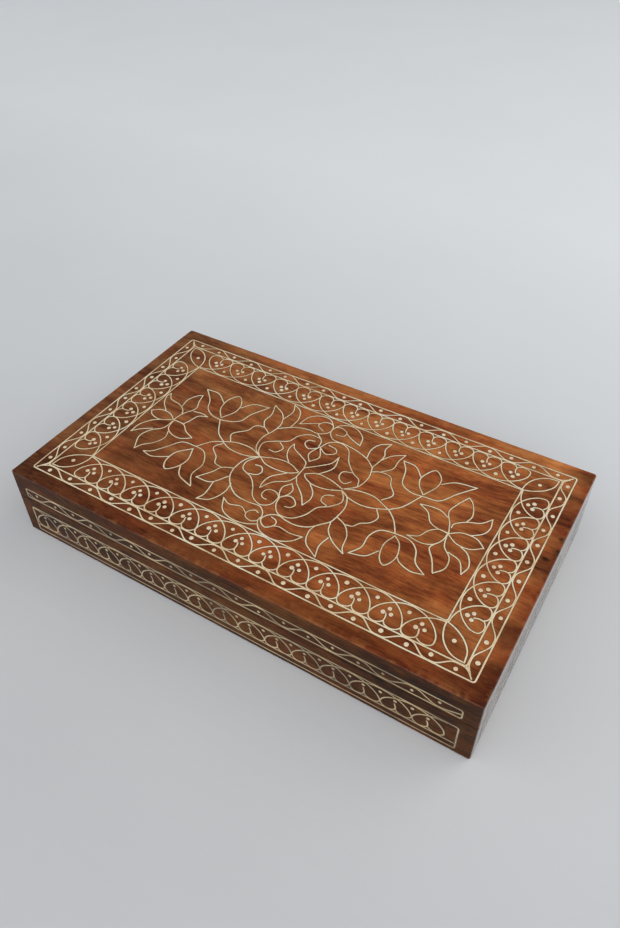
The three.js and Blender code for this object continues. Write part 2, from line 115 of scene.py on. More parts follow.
class Surface:
    """A procedural material, with short helpers for the nodes that it is made of."""

    def __init__(self, name, **constants):
        self.material = bpy.data.materials.new(name)
        self.material.use_nodes = True
        self.tree = self.material.node_tree
        self.shader = self.tree.nodes["Principled BSDF"]
        self.place = self.tree.nodes.new("ShaderNodeTexCoord").outputs["Object"]
        for socket, value in constants.items():
            self.feed(self.shader.inputs[socket.replace("_", " ")], value)

    def feed(self, socket, value):
        if isinstance(value, bpy.types.NodeSocket):
            self.tree.links.new(value, socket)
        else:
            socket.default_value = value

    def node(self, kind, inputs=None, **settings):
        made = self.tree.nodes.new(kind)
        for setting, value in settings.items():
            setattr(made, setting, value)
        for socket, value in (inputs or {}).items():
            self.feed(made.inputs[socket], value)
        return made

    def scaled(self, scale, vector=None, turn=0):
        inputs = {"Vector": vector or self.place, "Scale": scale, "Rotation": (0, 0, turn)}
        return self.node("ShaderNodeMapping", inputs).outputs[0]

    def noise(self, scale, vector=None, detail=2, roughness=0.5, distortion=0, colour=False, turn=0):
        """Noise that is finer along an axis the greater its scale is."""
        inputs = {"Vector": self.scaled(scale, vector, turn), "Scale": 1, "Detail": detail,
                  "Roughness": roughness, "Distortion": distortion}
        made = self.node("ShaderNodeTexNoise", inputs)
        return made.outputs["Color" if colour else 0]

    def maths(self, operation, first, second):
        return self.node("ShaderNodeMath", {0: first, 1: second}, operation=operation).outputs[0]

    def vector(self, operation, first, second):
        return self.node("ShaderNodeVectorMath", {0: first, 1: second}, operation=operation).outputs[0]

    def weighted(self, *shares):
        """The sum of some values, each times its weight."""
        total = 0.0
        for value, weight in shares:
            total = self.node("ShaderNodeMath", {0: value, 1: weight, 2: total},
                              operation="MULTIPLY_ADD").outputs[0]
        return total

    def between(self, value, low, high, to_low=0, to_high=1):
        """A value remapped from one range to another, and kept inside it."""
        inputs = {"Value": value, "From Min": low, "From Max": high, "To Min": to_low, "To Max": to_high}
        return self.node("ShaderNodeMapRange", inputs).outputs[0]

    def ramp(self, value, stops):
        made = self.node("ShaderNodeValToRGB", {"Fac": value})
        points = made.color_ramp.elements
        while len(points) < len(stops):
            points.new(0.5)
        for point, (position, colour) in zip(points, stops):
            point.position = position
            point.color = (*colour, 1)
        return made.outputs[0]

    def mix(self, factor, first, second, blend="MIX"):
        made = self.node("ShaderNodeMix", data_type="RGBA", blend_type=blend)
        self.feed(made.inputs["Factor"], factor)
        for socket, value in ((made.inputs["A"], first), (made.inputs["B"], second)):
            self.feed(socket, (*value, 1) if isinstance(value, tuple) else value)
        return next(out for out in made.outputs if out.type == "RGBA")

    def bump(self, height, distance, strength=1, under=None):
        inputs = {"Height": height, "Distance": distance, "Strength": strength}
        if under:
            inputs["Normal"] = under
        return self.node("ShaderNodeBump", inputs).outputs[0]

    def finish(self, colour, roughness=None, normal=None):
        self.feed(self.shader.inputs["Base Color"], colour)
        if roughness is not None:
            self.feed(self.shader.inputs["Roughness"], roughness)
        if normal is not None:
            self.feed(self.shader.inputs["Normal"], normal)
        return self.material


def grain_coordinates(wood, along):
    """Coordinates along the grain, which wanders a few millimetres from side to side."""
    straight = wood.scaled((1, 1, 1), turn=0 if along == "X" else math.pi / 2)
    wander = wood.noise((6, 14, 14), straight, detail=2, colour=True)
    bend = wood.vector("SUBTRACT", wander, (0.5, 0.5, 0.5))
    return wood.vector("ADD", straight, wood.vector("MULTIPLY", bend, (0.02, 0.03, 0.03)))


def shade(wood, colour, shades, unevenness):
    """Paints shade on the wood: darkens it along an axis, from one place to another, with an uneven edge.

    Each of shades is the axis, the two places in millimetres and the colour that it is multiplied by.
    """
    for axis, start, stop, dark in shades:
        place = wood.node("ShaderNodeSeparateXYZ", {0: wood.place}).outputs[axis]
        spread = 0.6 * abs(stop - start) * MM
        uneven = wood.weighted((place, 1), (unevenness, spread))
        share = wood.between(uneven, start * MM + spread / 2, stop * MM + spread / 2)
        colour = wood.mix(share, colour, wood.mix(1.0, colour, dark, "MULTIPLY"))
    return colour


def spot(wood, colour, knots):
    """Dark ragged spots: each is a centre, its reach along each axis in millimetres and its strength."""
    stray = wood.noise((300, 300, 300), detail=3, colour=True)
    stray = wood.vector("SUBTRACT", stray, (0.5, 0.5, 0.5))
    ragged = wood.vector("ADD", wood.place, wood.vector("MULTIPLY", stray, (0.003, 0.002, 0.002)))
    for centre, reach, strength in knots:
        away = wood.vector("SUBTRACT", ragged, [c * MM for c in centre])
        share = wood.vector("DIVIDE", away, [r * MM for r in reach])
        far = wood.node("ShaderNodeVectorMath", {0: share}, operation="LENGTH").outputs["Value"]
        colour = wood.mix(wood.between(far, 1.2, 0.4, 0, strength), colour, KNOT_AND_SHADE_COLOUR)
    return colour


def rub(wood, colour, pale):
    """Handling has rubbed the arrises paler in patches."""
    worn = wood.node("ShaderNodeAttribute", attribute_name="wear").outputs["Fac"]
    patchy = wood.noise((120, 120, 120), detail=4, roughness=0.65)
    rubbed = wood.maths("MULTIPLY", worn, wood.between(patchy, 0.5, 0.72))
    return wood.mix(wood.maths("MULTIPLY", rubbed, 0.3), colour, pale)


def hardwood(name, tones, along="X", gloss=1.0, coat_ior=1.3, roughness=(0.3, 0.5), shades=(), knots=()):
    """Varnished hardwood with its grain along an axis. tones run from the darkest streak to the lightest."""
    wood = Surface(name, Coat_Weight=gloss, Coat_Roughness=0.06, Coat_IOR=coat_ior, IOR=1.16)
    grain = grain_coordinates(wood, along)
    broad = wood.noise((12, 36, 36), grain, detail=4, roughness=0.55)
    streak = wood.noise((26, 150, 150), grain, detail=6, roughness=0.66)
    fibre = wood.noise((120, 900, 900), grain, detail=4, roughness=0.65)
    pores = wood.noise((130, 1900, 1900), grain, detail=2)
    figure = wood.noise((55, 40, 40), grain, detail=5, roughness=0.6, distortion=0.6)
    heart = wood.noise((22, 60, 60), grain, detail=4, roughness=0.6)
    tone = wood.weighted((broad, 0.36), (streak, 0.38), (fibre, 0.26))
    colour = wood.ramp(tone, list(zip((0.38, 0.45, 0.51, 0.57, 0.64), tones)))
    colour = shade(wood, colour, shades, broad)
    # Figure makes the wood lighter and darker in soft patches, and heartwood makes it redder.
    colour = wood.mix(1.0, colour, wood.between(figure, 0.34, 0.66, 0.78, 1.18), "MULTIPLY")
    redder = wood.mix(1.0, colour, RED_HEART, "MULTIPLY")
    colour = wood.mix(wood.between(heart, 0.46, 0.66), colour, redder)
    pore_mask = wood.between(pores, 0.6, 0.7)
    colour = wood.mix(wood.maths("MULTIPLY", pore_mask, 0.6), colour, tones[0])
    colour = rub(wood, spot(wood, colour, knots), tones[-1])
    smears = wood.noise((18, 26, 20), detail=4, roughness=0.6)
    shine = wood.weighted((wood.between(tone, 0.35, 0.65, *roughness), 1), (smears, 0.2))
    sunk = wood.bump(wood.maths("SUBTRACT", 1.0, pore_mask), 0.00004, 0.7)
    ripple = wood.bump(fibre, 0.00003, 0.6, under=sunk)
    hollow = wood.bump(wood.noise((22, 40, 30), detail=2), 0.0006, 0.2, under=ripple)
    wood.feed(wood.shader.inputs["Coat Normal"], wood.bump(fibre, 0.00001, 0.4))
    return wood.finish(colour, shine, hollow)


ROSEWOOD = [(0.13, 0.034, 0.012), (0.27, 0.078, 0.023), (0.42, 0.138, 0.038), (0.54, 0.192, 0.054),
            (0.67, 0.262, 0.080)]
# The sides' tones: the top's rosewood made much darker, as painted shade on faces that turn away from the
# light.
SIDE_TONES_PAINTED_SHADE = [(0.014, 0.0045, 0.001), (0.040, 0.0125, 0.002), (0.078, 0.025, 0.004), (0.118, 0.041, 0.008),
          (0.18, 0.072, 0.020)]
BARE = [(0.05, 0.022, 0.011), (0.11, 0.05, 0.025), (0.17, 0.082, 0.042), (0.22, 0.11, 0.06),
        (0.29, 0.16, 0.09)]
# Patches of redder heartwood are the wood's own colour times this.
RED_HEART = (1.02, 0.80, 0.78)
# The colour of the knots and smudges, and of the painted shade in the front left of the lid.
KNOT_AND_SHADE_COLOUR = (0.012, 0.004, 0.002)
# Painted shade, for the uneven light on the lid: its board is darker and browner to the left, darker
# and redder to the front, and darker near its front, left and right edges. Each entry is described in
# shade().
LID_PAINTED_SHADE = [(0, 60, -140, (0.68, 0.78, 0.98)), (1, 70, -70, (0.80, 0.70, 0.66)),
              (1, -55, -84, (0.55, 0.50, 0.50)), (0, -112, -138, (0.82, 0.88, 0.95)),
              (0, 143, 152, (0.55, 0.42, 0.42))]
# Knots and dark smudges along the lid's right edge, a hairline check that runs in from it, a faint
# broad patch by the front right corner, and a faint broad patch of painted shade in the front left of the
# lid.
KNOTS_AND_PAINTED_SHADE = [((152, 27.5, 50), (3.6, 3.0, 6), 0.9), ((152, 17.5, 50), (3.6, 2.8, 6), 0.9),
         ((147, 10, 50), (2.6, 1.6, 5), 0.8), ((145, 2, 50), (9, 0.5, 3), 0.9),
         ((148, 5, 50), (8, 16, 8), 0.3), ((147, -47, 50), (7, 10, 6), 0.4),
         ((149, -66, 50), (5, 4, 6), 0.4), ((148, 62, 50), (7, 3, 6), 0.4),
         ((149, 83, 50), (16, 9, 8), 0.45), ((126, -60, 50), (16, 14, 8), 0.25),
         ((-78, -32, 50), (66, 26, 10), 0.22)]


def brass_wire(name, tones):
    """Brass strip, filed nearly flush with the wood, with a little brown left in its hollows."""
    brass = Surface(name, Metallic=0.1, Coat_Weight=1.0, Coat_Roughness=0.05, Coat_IOR=1.4)
    cloud = brass.noise((60, 60, 60), detail=4, roughness=0.6)
    speck = brass.noise((900, 900, 900), detail=3, roughness=0.65)
    colour = brass.ramp(cloud, list(zip((0.36, 0.5, 0.66), tones)))
    stain = brass.between(speck, 0.56, 0.72, 0, 0.5)
    colour = brass.mix(stain, colour, (0.22, 0.12, 0.06))
    shine = brass.between(speck, 0.35, 0.7, 0.32, 0.55)
    hammered = brass.bump(brass.noise((420, 420, 420), detail=2), 0.00008, 0.6)
    return brass.finish(colour, shine, brass.bump(speck, 0.00002, 0.5, under=hammered))


BRIGHT_BRASS = [(0.80, 0.56, 0.31), (1.0, 0.78, 0.48), (1.0, 0.88, 0.62)]
# Brass for the sides: the top's brass in darker tones, as painted shade.
SIDE_BRASS_PAINTED_SHADE = [(0.25, 0.168, 0.060), (0.47, 0.325, 0.130), (0.69, 0.500, 0.225)]
PIN_BRASS = [(0.92, 0.64, 0.38), (1.0, 0.78, 0.50), (1.0, 0.87, 0.62)]


def hinge_brass():
    """Yellow brass sheet that has dulled in patches."""
    brass = Surface("hinge_brass", Metallic=1.0)
    cloud = brass.noise((110, 260, 260), detail=5, roughness=0.62)
    colour = brass.ramp(cloud, [(0.34, (0.16, 0.095, 0.035)), (0.52, (0.46, 0.31, 0.12)),
                                (0.7, (0.62, 0.45, 0.20))])
    brushed = brass.noise((120, 3000, 3000), detail=3)
    shine = brass.between(cloud, 0.35, 0.65, 0.5, 0.28)
    return brass.finish(colour, shine, brass.bump(brushed, 0.00003, 0.5))


def lac_and_groove_shadow():
    """The dark filler that shows as a thin line on both sides of each wire, and painted shadow of the groove
    the wire lies in.
    """
    lac_and_shadow = Surface("lac_and_groove_shadow", Coat_Weight=1.0, Coat_Roughness=0.05, Coat_IOR=1.4)
    cloud = lac_and_shadow.noise((500, 500, 500), detail=3)
    colour = lac_and_shadow.ramp(cloud, [(0.35, (0.012, 0.006, 0.004)), (0.65, (0.04, 0.018, 0.010))])
    return lac_and_shadow.finish(colour, lac_and_shadow.between(cloud, 0.3, 0.7, 0.35, 0.6), lac_and_shadow.bump(cloud, 0.00005, 0.5))


def felt():
    """Short dark red felt."""
    wool = Surface("felt", Sheen_Weight=0.2, Sheen_Roughness=0.4, Sheen_Tint=(0.7, 0.2, 0.2, 1))
    fuzz = wool.noise((1500, 1500, 1500), detail=5, roughness=0.7)
    fibres = wool.noise((3500, 500, 900), detail=2, distortion=1.5)
    patches = wool.noise((30, 30, 30), detail=3)
    colour = wool.ramp(fuzz, [(0.3, (0.035, 0.004, 0.008)), (0.55, (0.09, 0.010, 0.018)),
                              (0.75, (0.17, 0.03, 0.035))])
    colour = wool.mix(wool.between(patches, 0.35, 0.7, 0, 0.35), colour, (0.05, 0.008, 0.012))
    nap = wool.bump(fuzz, 0.0005, 0.8)
    return wool.finish(colour, wool.between(fuzz, 0.3, 0.7, 0.85, 1.0), wool.bump(fibres, 0.0003, 0.6, nap))


MATERIALS = {
    "top": hardwood("rosewood_top", ROSEWOOD, shades=LID_PAINTED_SHADE, knots=KNOTS_AND_PAINTED_SHADE),
    # The sides take the darker tones, with their painted shade.
    "long": hardwood("rosewood_long_sides", SIDE_TONES_PAINTED_SHADE, gloss=0.15),
    "short": hardwood("rosewood_short_sides", SIDE_TONES_PAINTED_SHADE, along="Y", coat_ior=1.6),
    "ends": hardwood("rosewood_end_grain", SIDE_TONES_PAINTED_SHADE, coat_ior=1.6),
    "bare": hardwood("bare_wood", BARE, gloss=0.0, roughness=(0.5, 0.7)),
    "wire": brass_wire("bright_brass_wire", BRIGHT_BRASS),
    "side_wire_painted_shade": brass_wire("side_brass_painted_shade", SIDE_BRASS_PAINTED_SHADE),
    "pin": brass_wire("brass_pins", PIN_BRASS),
    "lac_and_shadow": lac_and_groove_shadow(),
    "hinge": hinge_brass(),
    "felt": felt(),
}

# ---------------- meshes


def new_object(name, data):
    made = bpy.data.objects.new(name, data)
    bpy.context.scene.collection.objects.link(made)
    return made


def add_piece(name, vertices, faces, materials, body, replaces=(), face_materials=None, wear=None):
    """Makes an object of vertices in millimetres, and rides it on a body."""
    mesh = bpy.data.meshes.new(name)
    mesh.from_pydata([tuple(c * MM for c in v) for v in vertices], [], faces)
    for material in materials:
        mesh.materials.append(MATERIALS[material])
    if face_materials is not None:
        mesh.polygons.foreach_set("material_index", face_materials)
    mesh.polygons.foreach_set("use_smooth", [True] * len(mesh.polygons))
    if wear is not None:
        mesh.attributes.new("wear", "FLOAT", "POINT").data.foreach_set("value", wear)
    piece = new_object(name, mesh)
    tidy = bmesh.new()
    tidy.from_mesh(mesh)
    bmesh.ops.remove_doubles(tidy, verts=tidy.verts, dist=0.002 * MM)
    bmesh.ops.recalc_face_normals(tidy, faces=tidy.faces)
    tidy.to_mesh(mesh)
    tidy.free()
    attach(piece, body)
    if replaces:
        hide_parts(*replaces)
    return piece


def sharpen(piece, angle=38):
    """Keeps flat faces flat next to rounded edges."""
    piece.data.set_sharp_from_angle(angle=math.radians(angle))
    weighting = piece.modifiers.new("flat_faces", "WEIGHTED_NORMAL")
    weighting.keep_sharp = True


def quads(rings, around, closed=False):
    """Faces joining rings of vertices in turn; each ring has the same number of vertices."""
    faces = []
    for i in range(rings if closed else rings - 1):
        here, there = i * around, (i + 1) % rings * around
        for j in range(around):
            k = (j + 1) % around
            faces.append((here + j, here + k, there + k, there + j))
    return faces


def tube(rings, around):
    """Faces joining open rings of vertices in turn, with a flat face over each end."""
    last = rings * around - 1
    return quads(rings, around) + [tuple(range(around)), tuple(range(last, last - around, -1))]


# ---------------- wooden boards


def rounded_profile(corners, steps=5):
    """A closed outline of square corners, each (depth, height, radius, wear), with the corners rounded."""
    outline = []
    for i, (depth, height, radius, wear) in enumerate(corners):
        corner = Vector((depth, height))
        before = (Vector(corners[i - 1][:2]) - corner).normalized()
        after = (Vector(corners[(i + 1) % len(corners)][:2]) - corner).normalized()
        if not radius:
            outline.append((depth, height, wear))
            continue
        middle = corner + radius * (before + after)
        for step in range(steps + 1):
            turn = math.pi / 2 * step / steps
            point = middle - radius * (after * math.cos(turn) + before * math.sin(turn))
            outline.append((*point, wear))
    return outline


def edge_path(half_along, half_across, depth, spacing=3):
    """The plan of one side, from mitre to mitre, at a depth inside its outer face."""
    radius = max(CORNER_RADIUS - depth, 0)
    inset = max(CORNER_RADIUS, depth)
    along, across = half_along - inset, half_across - inset
    turns = [math.pi / 4 * k / 4 for k in range(1, 5)]
    left = [(-along - radius * math.sin(t), -across - radius * math.cos(t)) for t in reversed(turns)]
    right = [(-x, y) for x, y in reversed(left)]
    count = round(2 * half_along / spacing)
    middle = [(-along + 2 * along * k / count, -half_across + depth) for k in range(count + 1)]
    return left + middle + right


def dented(x, y, z, wear):
    """How far a worn arris has been knocked back, in millimetres."""
    slow = noise.noise(Vector((x, y, z)) * 0.045)
    quick = noise.noise(Vector((x + 90, y, z)) * 0.33)
    return wear * max(0, 0.04 + 0.10 * slow + 0.06 * quick)


def face_turn(side):
    """The turn about Z that brings the front side's plan to another side."""
    return Matrix.Rotation(math.pi / 2 * SIDES.index(side), 3, "Z")


def side_halves(side, half_length=HALF_LENGTH, half_depth=HALF_DEPTH):
    """Half of a side's own length, and how far its outer face is from the middle."""
    return by_length(side, (half_length, half_depth), (half_depth, half_length))


def swept_board(name, side, corners, body):
    """One mitred board with rounded arrises, which replaces the CAD node of the same place."""
    profile = rounded_profile(corners)
    half_along, half_across = side_halves(side)
    paths = [edge_path(half_along, half_across, depth) for depth, _, _ in profile]
    turn = face_turn(side)
    vertices, wear = [], []
    for station in range(len(paths[0])):
        for path, (_, height, worn) in zip(paths, profile):
            x, y = path[station]
            y += dented(x, y, height, worn)
            vertices.append(turn @ Vector((x, y, height)))
            wear.append(worn)
    faces = tube(len(paths[0]), len(profile))
    # Walls and rails take the sides' darker tones, with their painted shade.
    material = by_length(side, "long", "short")
    piece = add_piece(f"{name}_{side}_board", vertices, faces, [material], body, [f"{name}_{side}"],
                      wear=wear)
    sharpen(piece)


def build_lid_board():
    """The lid's top: one board with a softly rounded, slightly knocked arris."""
    corners = [(WALL, BOARD_BOTTOM, 0, 0), (0, BOARD_BOTTOM, 0, 0), (0, TOP, TOP_ARRIS, 1), (WALL, TOP, 0, 0)]
    profile = rounded_profile(corners, steps=7)
    vertices, wear = [], []
    for depth, height, worn in profile:
        for side in SIDES:
            path = edge_path(*side_halves(side), depth)[:-1]
            for x, y in path:
                low = height - dented(x, y, 0, worn) * 0.8
                vertices.append(face_turn(side) @ Vector((x, y + dented(x, y, 0, worn), low)))
                wear.append(worn)
    around = len(vertices) // len(profile)
    faces = tube(len(profile), around)
    # The board's edges take the sides' darker tones, with their painted shade.
    edges = [by_length(side, 1, 2) for side in SIDES for _ in edge_path(*side_halves(side), 0)[:-1]]
    face_materials = [0] * around + edges + [0] * (len(faces) - 2 * around)
    piece = add_piece("lid_top_board", vertices, faces, ["top", "long", "ends"], "lid", ["lid_board"],
                      face_materials, wear)
    sharpen(piece)


def build_carcass():
    for side in SIDES:
        swept_board("case_wall", side, [
            (WALL, 0, 0, 0), (0, 0, BOTTOM_ARRIS, 1), (0, CASE_TOP, SEAM_ARRIS, 1), (WALL, CASE_TOP, 0.6, 0),
        ], "case")
        swept_board("lid_rail", side, [
            (WALL, LID_BOTTOM, 0.6, 0), (0, LID_BOTTOM, SEAM_ARRIS, 1), (0, BOARD_BOTTOM, 0, 0),
            (WALL, BOARD_BOTTOM, 0, 0),
        ], "lid")
    build_lid_board()
    base = frame["nodes"]["base_board"]
    base.data.materials.clear()
    base.data.materials.append(MATERIALS["bare"])


# ---------------- felt


def build_felt(name, node, body):
    """A sheet of felt glued to a board, not quite flat, with a soft cut edge."""
    low, high = node_box(node)
    columns, rows = 72, 40
    swelling, edge_drop = 0.12, 0.3
    vertices, faces = [], []
    for level in (0, 1):
        for j in range(rows + 1):
            for i in range(columns + 1):
                x = low.x + (high.x - low.x) * i / columns
                y = low.y + (high.y - low.y) * j / rows
                edge = i in (0, columns) or j in (0, rows)
                swell = swelling * noise.noise(Vector((x, y, low.z)) * 0.06)
                swell -= edge_drop if edge else swelling
                vertices.append((x, y, high.z + swell if level else low.z))
    layer = (columns + 1) * (rows + 1)
    for j in range(rows):
        for i in range(columns):
            a = j * (columns + 1) + i
            ring = (a, a + 1, a + columns + 2, a + columns + 1)
            faces += [ring[::-1], tuple(k + layer for k in ring)]
    rim = list(range(columns)) + [(j + 1) * (columns + 1) - 1 for j in range(rows)]
    rim += [layer - 1 - i for i in range(columns)] + [(rows - j) * (columns + 1) for j in range(rows)]
    faces += [(a, b, b + layer, a + layer) for a, b in zip(rim, rim[1:] + rim[:1])]
    if body == "lid":
        vertices = [(x, y, low.z + high.z - z) for x, y, z in vertices]
    sheet = add_piece(name, vertices, faces, ["felt"], body, [node])


# ---------------- inlay: wires and pins


def smooth_path(points, step=0.9):
    """Evenly fine points on a curve through the given ones (a centripetal Catmull-Rom spline)."""
    knots = [np.array(p, float) for p in points]
    knots = [2 * knots[0] - knots[1], *knots, 2 * knots[-1] - knots[-2]]
    path = []
    for p0, p1, p2, p3 in zip(knots, knots[1:], knots[2:], knots[3:]):
        t1, t2, t3 = np.cumsum([max(np.linalg.norm(b - a), 1e-6) ** 0.5
                                for a, b in ((p0, p1), (p1, p2), (p2, p3))])
        count = max(2, math.ceil(np.linalg.norm(p2 - p1) / step))
        for k in range(count):
            t = t1 + (t2 - t1) * k / count
            a1 = (t1 - t) / t1 * p0 + t / t1 * p1
            a2 = (t2 - t) / (t2 - t1) * p1 + (t - t1) / (t2 - t1) * p2
            a3 = (t3 - t) / (t3 - t2) * p2 + (t - t2) / (t3 - t2) * p3
            b1 = (t2 - t) / t2 * a1 + t / t2 * a2
            b2 = (t3 - t) / (t3 - t1) * a2 + (t - t1) / (t3 - t1) * a3
            path.append((t2 - t) / (t2 - t1) * b1 + (t - t1) / (t2 - t1) * b2)
    return np.array([*path, knots[-2]])


def rounded_rectangle(x0, x1, y0, y1, radius, spacing=3):
    """A closed path of four straight sides joined by quarter circles."""
    path = []
    for k, (cx, cy) in enumerate([(x1, y0), (x1, y1), (x0, y1), (x0, y0)]):
        middle = np.array([cx, cy]) - radius * np.sign([cx - (x0 + x1) / 2, cy - (y0 + y1) / 2])
        for step in range(5):
            turn = math.pi / 2 * (k - 1 + step / 4)
            corner = middle + radius * np.array([math.cos(turn), math.sin(turn)])
            if path and step == 0:
                gap = np.linalg.norm(corner - path[-1])
                count = round(gap / spacing)
                path += [path[-1] + (corner - path[-1]) * n / count for n in range(1, count)]
            path.append(corner)
    count = round(np.linalg.norm(path[0] - path[-1]) / spacing)
    path += [path[-1] + (path[0] - path[-1]) * n / count for n in range(1, count)]
    return np.array(path)


# Cross sections, as (share of the half width, share of the height), from one foot to the other.
WIRE_SECTION = [(-1, -0.6), (-1, 0.45), (-0.8, 0.86), (-0.4, 1), (0.4, 1), (0.8, 0.86), (1, 0.45), (1, -0.6)]
# The filler's strip round each wire and pin also carries painted shadow of the groove.
LAC_SECTION = [(-1, -3), (-0.97, 1), (0.97, 1), (1, -3)]
LAC_MARGIN = 0.26
LAC_PROUD = 0.02
# How far a wire strays from its drawn line, and how quickly the straying changes along it.
HAND_WANDER = 0.13
WANDER_RATE = 0.11

# How thick the wire of each motif is, and the pins of each band, as a share of the usual.
GAUGE = {"line": 0.92, "wave": 0.84, "arcade": 0.86, "leaf": 0.86, "motif": 0.84, "side": 0.82,
         "lid_pins": 0.72, "case_pins": 0.76}
SIDE_RELIEF = 0.2
LINE_CORNER = 1.4
BAND_CORNER = 1.2


class Inlay:
    """Wires and pins drawn flat in (u, v), gathered up and then laid on one face of the box."""

    def __init__(self, gauge=1.0, brass="wire", relief=1.0):
        self.gauge = gauge
        self.brass = brass
        self.relief = relief
        self.vertices = []
        self.faces = []
        self.face_materials = []

    def add(self, vertices, faces, material):
        start = len(self.vertices)
        self.vertices += vertices
        self.faces += [tuple(start + index for index in face) for face in faces]
        self.face_materials += [material] * len(faces)

    def strip(self, path, half_width, height, section, material, closed):
        """A strip with the given section along a path, with round ends where it is open."""
        widths = np.full(len(path), half_width)
        if closed:
            before, after = np.roll(path, 1, 0), np.roll(path, -1, 0)
        else:
            first, last = path[0] - path[1], path[-1] - path[-2]
            first, last = first / np.linalg.norm(first), last / np.linalg.norm(last)
            swell = [(1.0, 0.15), (0.85, 0.55), (0.5, 0.87)]
            head = [path[0] + first * half_width * reach for reach, _ in swell]
            tail = [path[-1] + last * half_width * reach for reach, _ in reversed(swell)]
            path = np.array([*head, *path, *tail])
            ends = [half_width * share for _, share in swell]
            widths = np.concatenate([ends, widths, ends[::-1]])
            before, after = np.vstack([path[:1], path[:-1]]), np.vstack([path[1:], path[-1:]])
        along = after - before
        along /= np.maximum(np.linalg.norm(along, axis=1, keepdims=True), 1e-9)
        across = np.column_stack([-along[:, 1], along[:, 0]])
        vertices = [(*(point + side * width * share), height * rise)
                    for point, side, width in zip(path, across, widths) for share, rise in section]
        rings, around = len(path), len(section)
        self.add(vertices, quads(rings, around, closed) if closed else tube(rings, around), material)

    def wire(self, points, closed=False, smooth=True):
        """A hand-set wire: a little uneven in line, width and height, with filler and painted shadow on both
        sides.
        """
        path = smooth_path(points) if smooth else np.array(points, float)
        phase = random.uniform(0, 100)
        for point in path:
            u, v = point
            point[0] += HAND_WANDER * noise.noise(Vector((u * WANDER_RATE, v * WANDER_RATE, phase)))
            point[1] += HAND_WANDER * noise.noise(Vector((u * WANDER_RATE, v * WANDER_RATE, phase + 50)))
        width = WIRE_WIDTH / 2 * self.gauge * random.uniform(0.94, 1.06)
        height = WIRE_PROUD * self.relief * random.uniform(0.80, 0.98)
        self.strip(path, width, height, WIRE_SECTION, 0, closed)
        self.strip(path, width + LAC_MARGIN, LAC_PROUD * self.relief, LAC_SECTION, 1, closed)

    def disc(self, centre, radius, height, profile, material, around=14):
        turns = [2 * math.pi * k / around for k in range(around)]
        vertices = [(centre[0] + radius * share * math.cos(turn),
                     centre[1] + radius * share * math.sin(turn), height * rise)
                    for share, rise in profile for turn in turns]
        self.add(vertices, tube(len(profile), around), material)

    def pin(self, u, v):
        """The rounded head of a brass pin, in its ring of filler and painted shadow."""
        centre = (u + random.uniform(-0.25, 0.25), v + random.uniform(-0.2, 0.2))
        radius = self.gauge * random.uniform(1.12, 1.34)
        rise = WIRE_PROUD * self.relief
        self.disc(centre, radius, rise, [(1, -0.6), (1, 0.4), (0.86, 0.8), (0.5, 1)], 0)
        self.disc(centre, radius + LAC_MARGIN, LAC_PROUD * self.relief, [(1, -3), (0.97, 1)], 1)

    def lay(self, name, surface, body, replaces=()):
        """Lays everything gathered on a surface, given as a matrix from (u, v, height)."""
        vertices = [surface @ Vector(v) for v in self.vertices]
        piece = add_piece(name, vertices, self.faces, [self.brass, "lac_and_shadow"], body, replaces,
                          self.face_materials)
        sharpen(piece, 50)


LID_TOP = Matrix.Translation((0, 0, TOP))


def face_surface(side):
    """From (u, v, height) to a side's outer face: u runs along it and v is up from the floor."""
    upright = Matrix.Translation((0, -side_halves(side)[1], 0)) @ Matrix.Rotation(math.pi / 2, 4, "X")
    return face_turn(side).to_4x4() @ upright


# ---------------- inlay: lines, waves and hearts


def build_frame_lines():
    for name, (x, y) in (("outer", OUTER_LINE), ("second", SECOND_LINE), ("inner", INNER_LINE)):
        line = Inlay(GAUGE["line"])
        line.wire(rounded_rectangle(-x, x, -y, y, LINE_CORNER), closed=True, smooth=False)
        line.lay(f"wire_{name}_line", LID_TOP, "lid", [f"inlay_{name}_line"])


def place_beside(side, out):
    """A function from (u, v), along a line at a distance from the middle and in from it, to the lid."""
    turn = face_turn(side)

    def place(u, v):
        return (turn @ Vector((u, v - out, 0)))[:2]

    return place


# Half waves along the long and the short sides, on the top and on the lid's bands.
HALF_WAVES = (19, 11)
# How far the middle of the top's wave sits along from the middle of its side.
WAVE_DRIFT = {"front": 6, "right": 3}
# What is left between a wave's crests and the middle of the line beside them.
TOP_WAVE_GAP = 0.55
BAND_WAVE_GAP = 0.7
# A crest's shoulders: their distance as a share of the crests' spacing, their height of its own.
SHOULDER_REACH = 0.22
SHOULDER_HEIGHT = 0.86


def wave_crests(start, end, half_waves, amplitude, drift=0):
    """The crests and hollows of a wave along u, about v = 0. drift pushes its middle along."""
    middle, half = (start + end) / 2, (end - start) / 2
    crests = []
    for k in range(half_waves):
        t = 2 * (k + 0.5) / half_waves - 1
        crests.append((middle + half * t + drift * (1 - t * t), amplitude if k % 2 == 0 else -amplitude))
    return crests


def wave_path(start, crests, end):
    """A wave through its crests, each broadened by a shoulder on both sides of it."""
    path = [(start, 0)]
    spread = SHOULDER_REACH * (crests[1][0] - crests[0][0])
    for u, v in crests:
        path += [(u - spread, SHOULDER_HEIGHT * v), (u, v), (u + spread, SHOULDER_HEIGHT * v)]
    return path + [(end, 0)]


